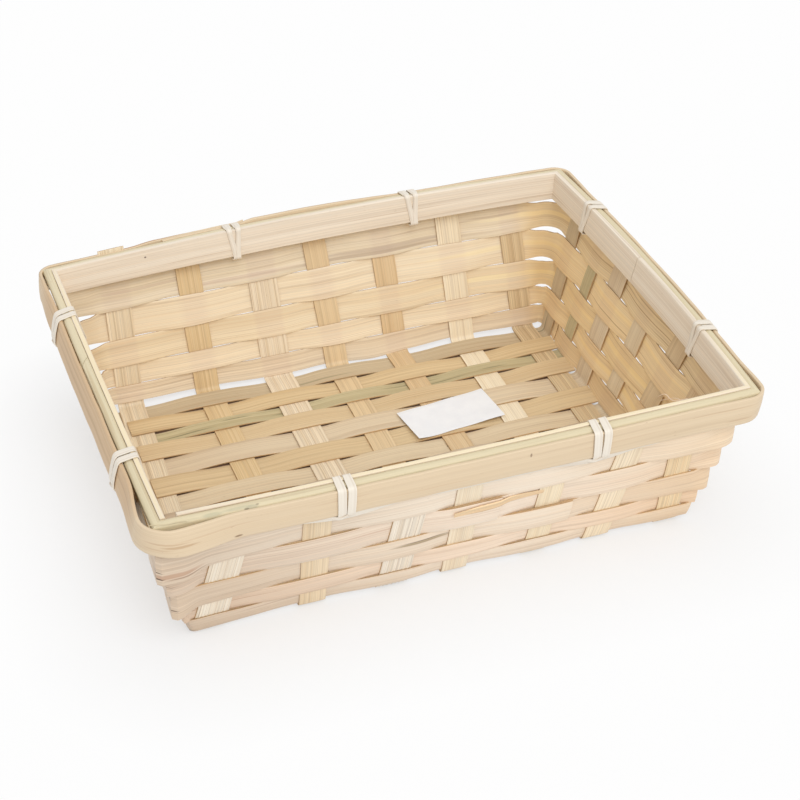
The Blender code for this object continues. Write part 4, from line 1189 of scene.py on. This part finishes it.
def label_finish():
    material, tree, shader = new_finish("coated label paper")
    uv = own_map(tree)
    cloud = spread(tree, grain(tree, uv, 3, 6, 6, 3.0), 0.3, 0.7)
    colour = blend_colour(tree, cloud, tone(246, 248, 251), tone(241, 243, 247))
    feed(tree, shader.inputs["Base Color"], colour)
    shader.inputs["Roughness"].default_value = 0.42
    add_bump(tree, shader, grain(tree, uv, 5, 0.5, 0.5, 2.0), 0.08, 0.05)
    return material


# The tones of each strip's face towards the inside of the basket, pale and deep, then of its outer face.
# Where the inner tones are warmer, they are partly the bamboo's own and partly a painted glow of light
# shining through and between the thin walls.
CROSS_TONES = (((246, 231, 204), (230, 208, 172), (250, 240, 222), (238, 220, 194)),
               ((233, 208, 165), (216, 185, 136), (242, 222, 190), (230, 204, 166)),
               ((245, 229, 203), (230, 208, 174), (252, 242, 226), (240, 224, 200)),
               ((238, 213, 173), (220, 193, 151), (252, 238, 212), (242, 221, 190)),
               ((233, 207, 166), (216, 184, 139), (252, 236, 206), (240, 217, 180)),
               ((251, 238, 212), (240, 222, 189), (252, 236, 208), (242, 219, 184)),
               ((234, 212, 172), (204, 176, 136), (248, 224, 184), (236, 203, 156)))
LONG_TONES = (((216, 198, 166), (196, 174, 140)), ((230, 206, 164), (212, 182, 136)),
              ((210, 196, 156), (178, 164, 124)), ((228, 204, 164), (210, 180, 136)),
              ((230, 212, 182), (214, 190, 158)), ((230, 206, 164), (212, 182, 138)),
              ((234, 216, 184), (218, 194, 158)), ((218, 198, 172), (196, 174, 146)),
              ((230, 208, 172), (212, 184, 142)), ((230, 206, 166), (210, 180, 136)),
              ((228, 204, 166), (208, 178, 138)), ((230, 208, 170), (210, 182, 140)))
ROW_TONES = (((243, 229, 205), (229, 211, 179), (255, 242, 223), (246, 227, 204)),
             ((249, 234, 206), (238, 216, 181), (254, 240, 221), (246, 225, 203)),
             ((246, 230, 199), (234, 210, 172), (250, 234, 213), (237, 214, 187)),
             ((248, 232, 203), (237, 214, 179), (254, 234, 212), (243, 216, 189)),
             ((241, 224, 197), (226, 203, 170), (246, 230, 210), (230, 207, 180)))
LONG_SLOTS = ("bamboo_grey", "bamboo_tan", "bamboo_grey", "bamboo_tan", "bamboo_grey", "bamboo_tan",
              "bamboo_pale", "bamboo_grey", "bamboo_tan", "bamboo_tan", "bamboo_tan", "bamboo_tan")
CROSS_SLOTS = ("bamboo_pale", "bamboo_tan", "bamboo_pale", "bamboo_tan", "bamboo_tan", "bamboo_pale",
               "bamboo_dark")


def strip_faces(name, tones, seed, cut, **extra):
    """The finishes of a strip: towards the inside of the basket, outwards, and its cut edges."""
    # Painted light on the rows: a painted shade where a stake backs a row, a painted warm glow on the right
    # wall's inner faces, a painted shade on the far left of the outer faces, and a warmer tone on the far
    # right.
    inner_tints = (("stake_backed_shade", (250, 248, 250)), ("right_wall_glow", (255, 245, 224)))
    outer_tints = (("far_left_shade", (226, 219, 212)), ("far_right", (249, 238, 222)))
    row = name.startswith("side")
    inner = bamboo(name + " inner face", tones[0], tones[1], seed, tints=inner_tints if row else (), **extra)
    outer = bamboo(name + " outer face", tones[-2], tones[-1], seed + 0.4, tints=outer_tints if row else (),
                   **extra)
    return inner, outer, cut


def weave_strip(name, slot, course, cut, tones, seed, **looks):
    """Lay one strip, with its inner face, its outer face and its cut edges. Its course is all that lay_grid
    takes after the name."""
    piece = lay_grid("bamboo_" + name, *course)
    thicken(piece, STRIP_THICKNESS, faces=3)
    faces = strip_faces(name, tones, seed, cut, **looks)
    finish_piece(piece, faces, name)
    return piece, faces


def make_weave():
    # The cut edges take a brown that is partly their own and partly a painted shade of the thin gaps between
    # strips.
    cut = bamboo("cut strip edge and painted gap shade", (204, 172, 130), (172, 138, 98), 71, lines=0.1, sheen=0.6)
    for index in range(CROSSES):
        ridged = index in (0, 2)
        striped = ridged or index == 6
        course = (cross_strip(index), 24 if ridged else 6, 0.1, 8 if ridged else 0)
        weave_strip("cross_strip_%d" % (index + 1), CROSS_SLOTS[index], course, cut, CROSS_TONES[index],
                    1 + index, lines=0.08 if striped else 0.05, hairs=0.4 if striped else 0.14)
    for index in range(LONGS):
        weave_strip("long_strip_%02d" % (index + 1), LONG_SLOTS[index], (long_strip(index), 6), cut,
                    LONG_TONES[index], 30 + index, places=LONG_MARKS.get(index, ()))
    for row in range(ROWS):
        stations, shades = row_stations(row)
        course = (stations, 8, 0.28, 0, shades)
        piece, faces = weave_strip("side_strip_%d" % (row + 1), "bamboo_cream", course, cut, ROW_TONES[row],
                                   60 + row, marks=0.2, places=ROW_MARKS[row])
        if row == 1:
            sliver = split_sliver()
            honey = bamboo("split honey bamboo", (252, 226, 186), (238, 200, 154), 77, lines=0.1)
            put_finishes(sliver, (honey, honey, honey))
            join([piece, sliver])
        if row == 3:
            curls = [loose_fibre("curl", RIGHT, CURL_POINTS, 0.35),
                     loose_fibre("second_curl", RIGHT, SECOND_CURL_POINTS, 0.25)]
            for curl in curls:
                put_finishes(curl, faces[1:2])
            join([piece] + curls)


def make_lath(name, slot, course, finish, pale, deep, seed, torn=(), **looks):
    """Roll one lath and give it its finish. Its course is all that roll_lath takes after the name."""
    piece = roll_lath("bamboo_" + name, *course)
    if torn:
        piece = join([piece, loose_fibre("torn", FRONT, torn, 0.4)])
    finish_piece(piece, [bamboo(finish + " lath bamboo", pale, deep, seed, **looks)], name)


def make_rim():
    stations = lath_run(LEFT, CORE_JOINT + 0.3, LEFT, CORE_JOINT, CORE_SLANT)
    make_lath("rim_core_lath", "bamboo_green", (stations, core_profile(), 80, 0.2), "core", (230, 217, 185),
              (215, 201, 164), 80, torn=TORN_POINTS, marks=0.4, lines=0.02, hairs=0.06, places=CORE_MARKS)
    profile = rounded_profile(INNER_INSIDE, INNER_OUTSIDE, RIM_BOTTOM, HEIGHT, 0.35)
    inner_tones = ((242, 231, 214), (232, 215, 192))
    start = -(TOP_HALF_X + INNER_INSIDE - RIM_LEAN * LATH_HEIGHT) + INNER_END_GAP
    stations = lath_run(FRONT, start, RIGHT, INNER_JOINT - 0.15)
    make_lath("rim_inner_lath_front", "bamboo_pale", (stations, profile, 83), "front inner", *inner_tones, 84,
              places=(INNER_TOP_MARK,))
    stations = lath_run(RIGHT, INNER_JOINT + 0.15, LEFT, TOP_HALF_Y)
    stations[-1] = lambda offset, z: side_point(LEFT, half_y(z) + INNER_OUTSIDE, offset, z)
    make_lath("rim_inner_lath_back", "bamboo_pale", (stations, profile, 86), "back inner", *inner_tones, 87,
              places=INNER_MARKS)
    profile = rounded_profile(OUTER_INSIDE, OUTER_OUTSIDE, OUTER_BOTTOM, OUTER_TOP, 0.4, 0.2)
    stations, shades = outer_run()
    # The outer lath's left side takes a painted shade.
    make_lath("rim_outer_lath", "bamboo_peach", (stations, profile, 89, 0.35, shades), "outer",
              (228, 207, 176), (220, 197, 164), 90, marks=0.4, lines=0.015, hairs=0.05, stains=0.1,
              tints=(("left_side_shade", (240, 228, 214)),), places=OUTER_MARKS)


def make_binding():
    pieces = [binding_run(7)]
    for number, (side, centre) in enumerate(TIE_PLACES):
        pieces += tie(number, side, centre)
    piece = join(pieces)
    piece.name = "bamboo_rim_lashing"
    piece.data.name = piece.name
    material = bamboo("binding strip", (240, 232, 219), (232, 222, 206), 95, marks=0.1, lines=0.0, hairs=0.02,
                      sheen=0.42)
    finish_piece(piece, [material], "rim_lashing")


def make_label():
    finish_piece(paper_label(), [label_finish()], "price_label")


def seen_directly(tree):
    """One where a ray comes from the camera, a gloss or a clear surface, and nought for lighting."""
    rays = add_node(tree, "ShaderNodeLightPath").outputs
    seen = combine(tree, "MAXIMUM", rays["Is Camera Ray"], rays["Is Glossy Ray"])
    return combine(tree, "MAXIMUM", seen, rays["Is Transmission Ray"])


def lit_or_seen(tree, share, lit, seen, end):
    """Show one shader in the light and, by a share, another one where it is seen directly."""
    both = add_node(tree, "ShaderNodeMixShader", {0: share, 1: lit.outputs[0], 2: seen.outputs[0]})
    feed(tree, tree.nodes[end].inputs["Surface"], both.outputs[0])


def make_floor():
    """The white floor. Away from the basket the camera sees it white, and near the foot its shadow shows.
    Under the foot its colour is a painted dark brown shadow.
    """
    bpy.ops.object.select_all(action="DESELECT")
    bpy.ops.mesh.primitive_plane_add(size=6)
    floor = bpy.context.object
    floor.name = "white_floor"
    material, tree, shader = new_finish("white floor")
    shader.inputs["Roughness"].default_value = 0.9
    shader.inputs["Specular IOR Level"].default_value = 0
    place = add_node(tree, "ShaderNodeTexCoord").outputs["Object"]
    for operation, *other in (("SUBTRACT", MOVE * MM), ("ABSOLUTE",), ("SUBTRACT", UNDER_HALF),
                              ("MAXIMUM", (0, 0, 0))):
        place = combine(tree, operation, place, *other, kind="ShaderNodeVectorMath")
    away = length_of(tree, place)
    # Painted shadow: the base colour turns dark brown under the foot.
    ground = blend_colour(tree, spread(tree, away, 0.0, 0.003), UNDER_SHADE, FLOOR_COLOUR)
    feed(tree, shader.inputs["Base Color"], ground)
    near_white = spread(tree, away, 0.0, 0.004, 0.0, 0.5)
    far_white = spread(tree, away, 0.004, 0.07, 0.0, 0.42)
    white = combine(tree, "ADD", near_white, far_white)
    share = combine(tree, "MULTIPLY", seen_directly(tree), white)
    lit_or_seen(tree, share, shader, add_node(tree, "ShaderNodeEmission", {"Strength": 1}), "Material Output")
    floor.data.materials.append(material)


def make_world():
    world = bpy.data.worlds.new("soft studio")
    bpy.context.scene.world = world
    world.use_nodes = True
    tree = world.node_tree
    lamp = tree.nodes["Background"]
    lamp.inputs["Color"].default_value = (1, 1, 1, 1)
    lamp.inputs["Strength"].default_value = STUDIO_STRENGTH
    seen = add_node(tree, "ShaderNodeBackground", {"Strength": 1})
    lit_or_seen(tree, seen_directly(tree), lamp, seen, "World Output")


def make_sun():
    """A broad soft lamp, far away, that looks at the basket."""
    bpy.ops.object.select_all(action="DESELECT")
    bpy.ops.object.light_add(type="SUN", location=SUN_PLACE)
    lamp = bpy.context.object
    lamp.name = "key_lamp"
    lamp.data.energy = SUN_STRENGTH
    lamp.data.angle = SUN_BREADTH
    lamp.rotation_euler = (-Vector(SUN_PLACE)).to_track_quat("-Z", "Y").to_euler()


def make_camera():
    bpy.ops.object.select_all(action="DESELECT")
    bpy.ops.object.camera_add()
    camera = bpy.context.object
    camera.name = "photo_camera"
    camera.data.lens = CAMERA_LENS
    camera.data.sensor_width = 36
    camera.data.clip_start = 0.01
    turn = Matrix((CAMERA_RIGHT, CAMERA_UP, -CAMERA_FORWARD)).transposed().to_4x4()
    camera.matrix_world = Matrix.Translation(CAMERA_PLACE) @ turn
    bpy.context.scene.camera = camera


make_weave()
make_rim()
make_binding()
make_label()
make_floor()
make_world()
make_sun()
make_camera()
bpy.context.scene.view_settings.view_transform = "Standard"
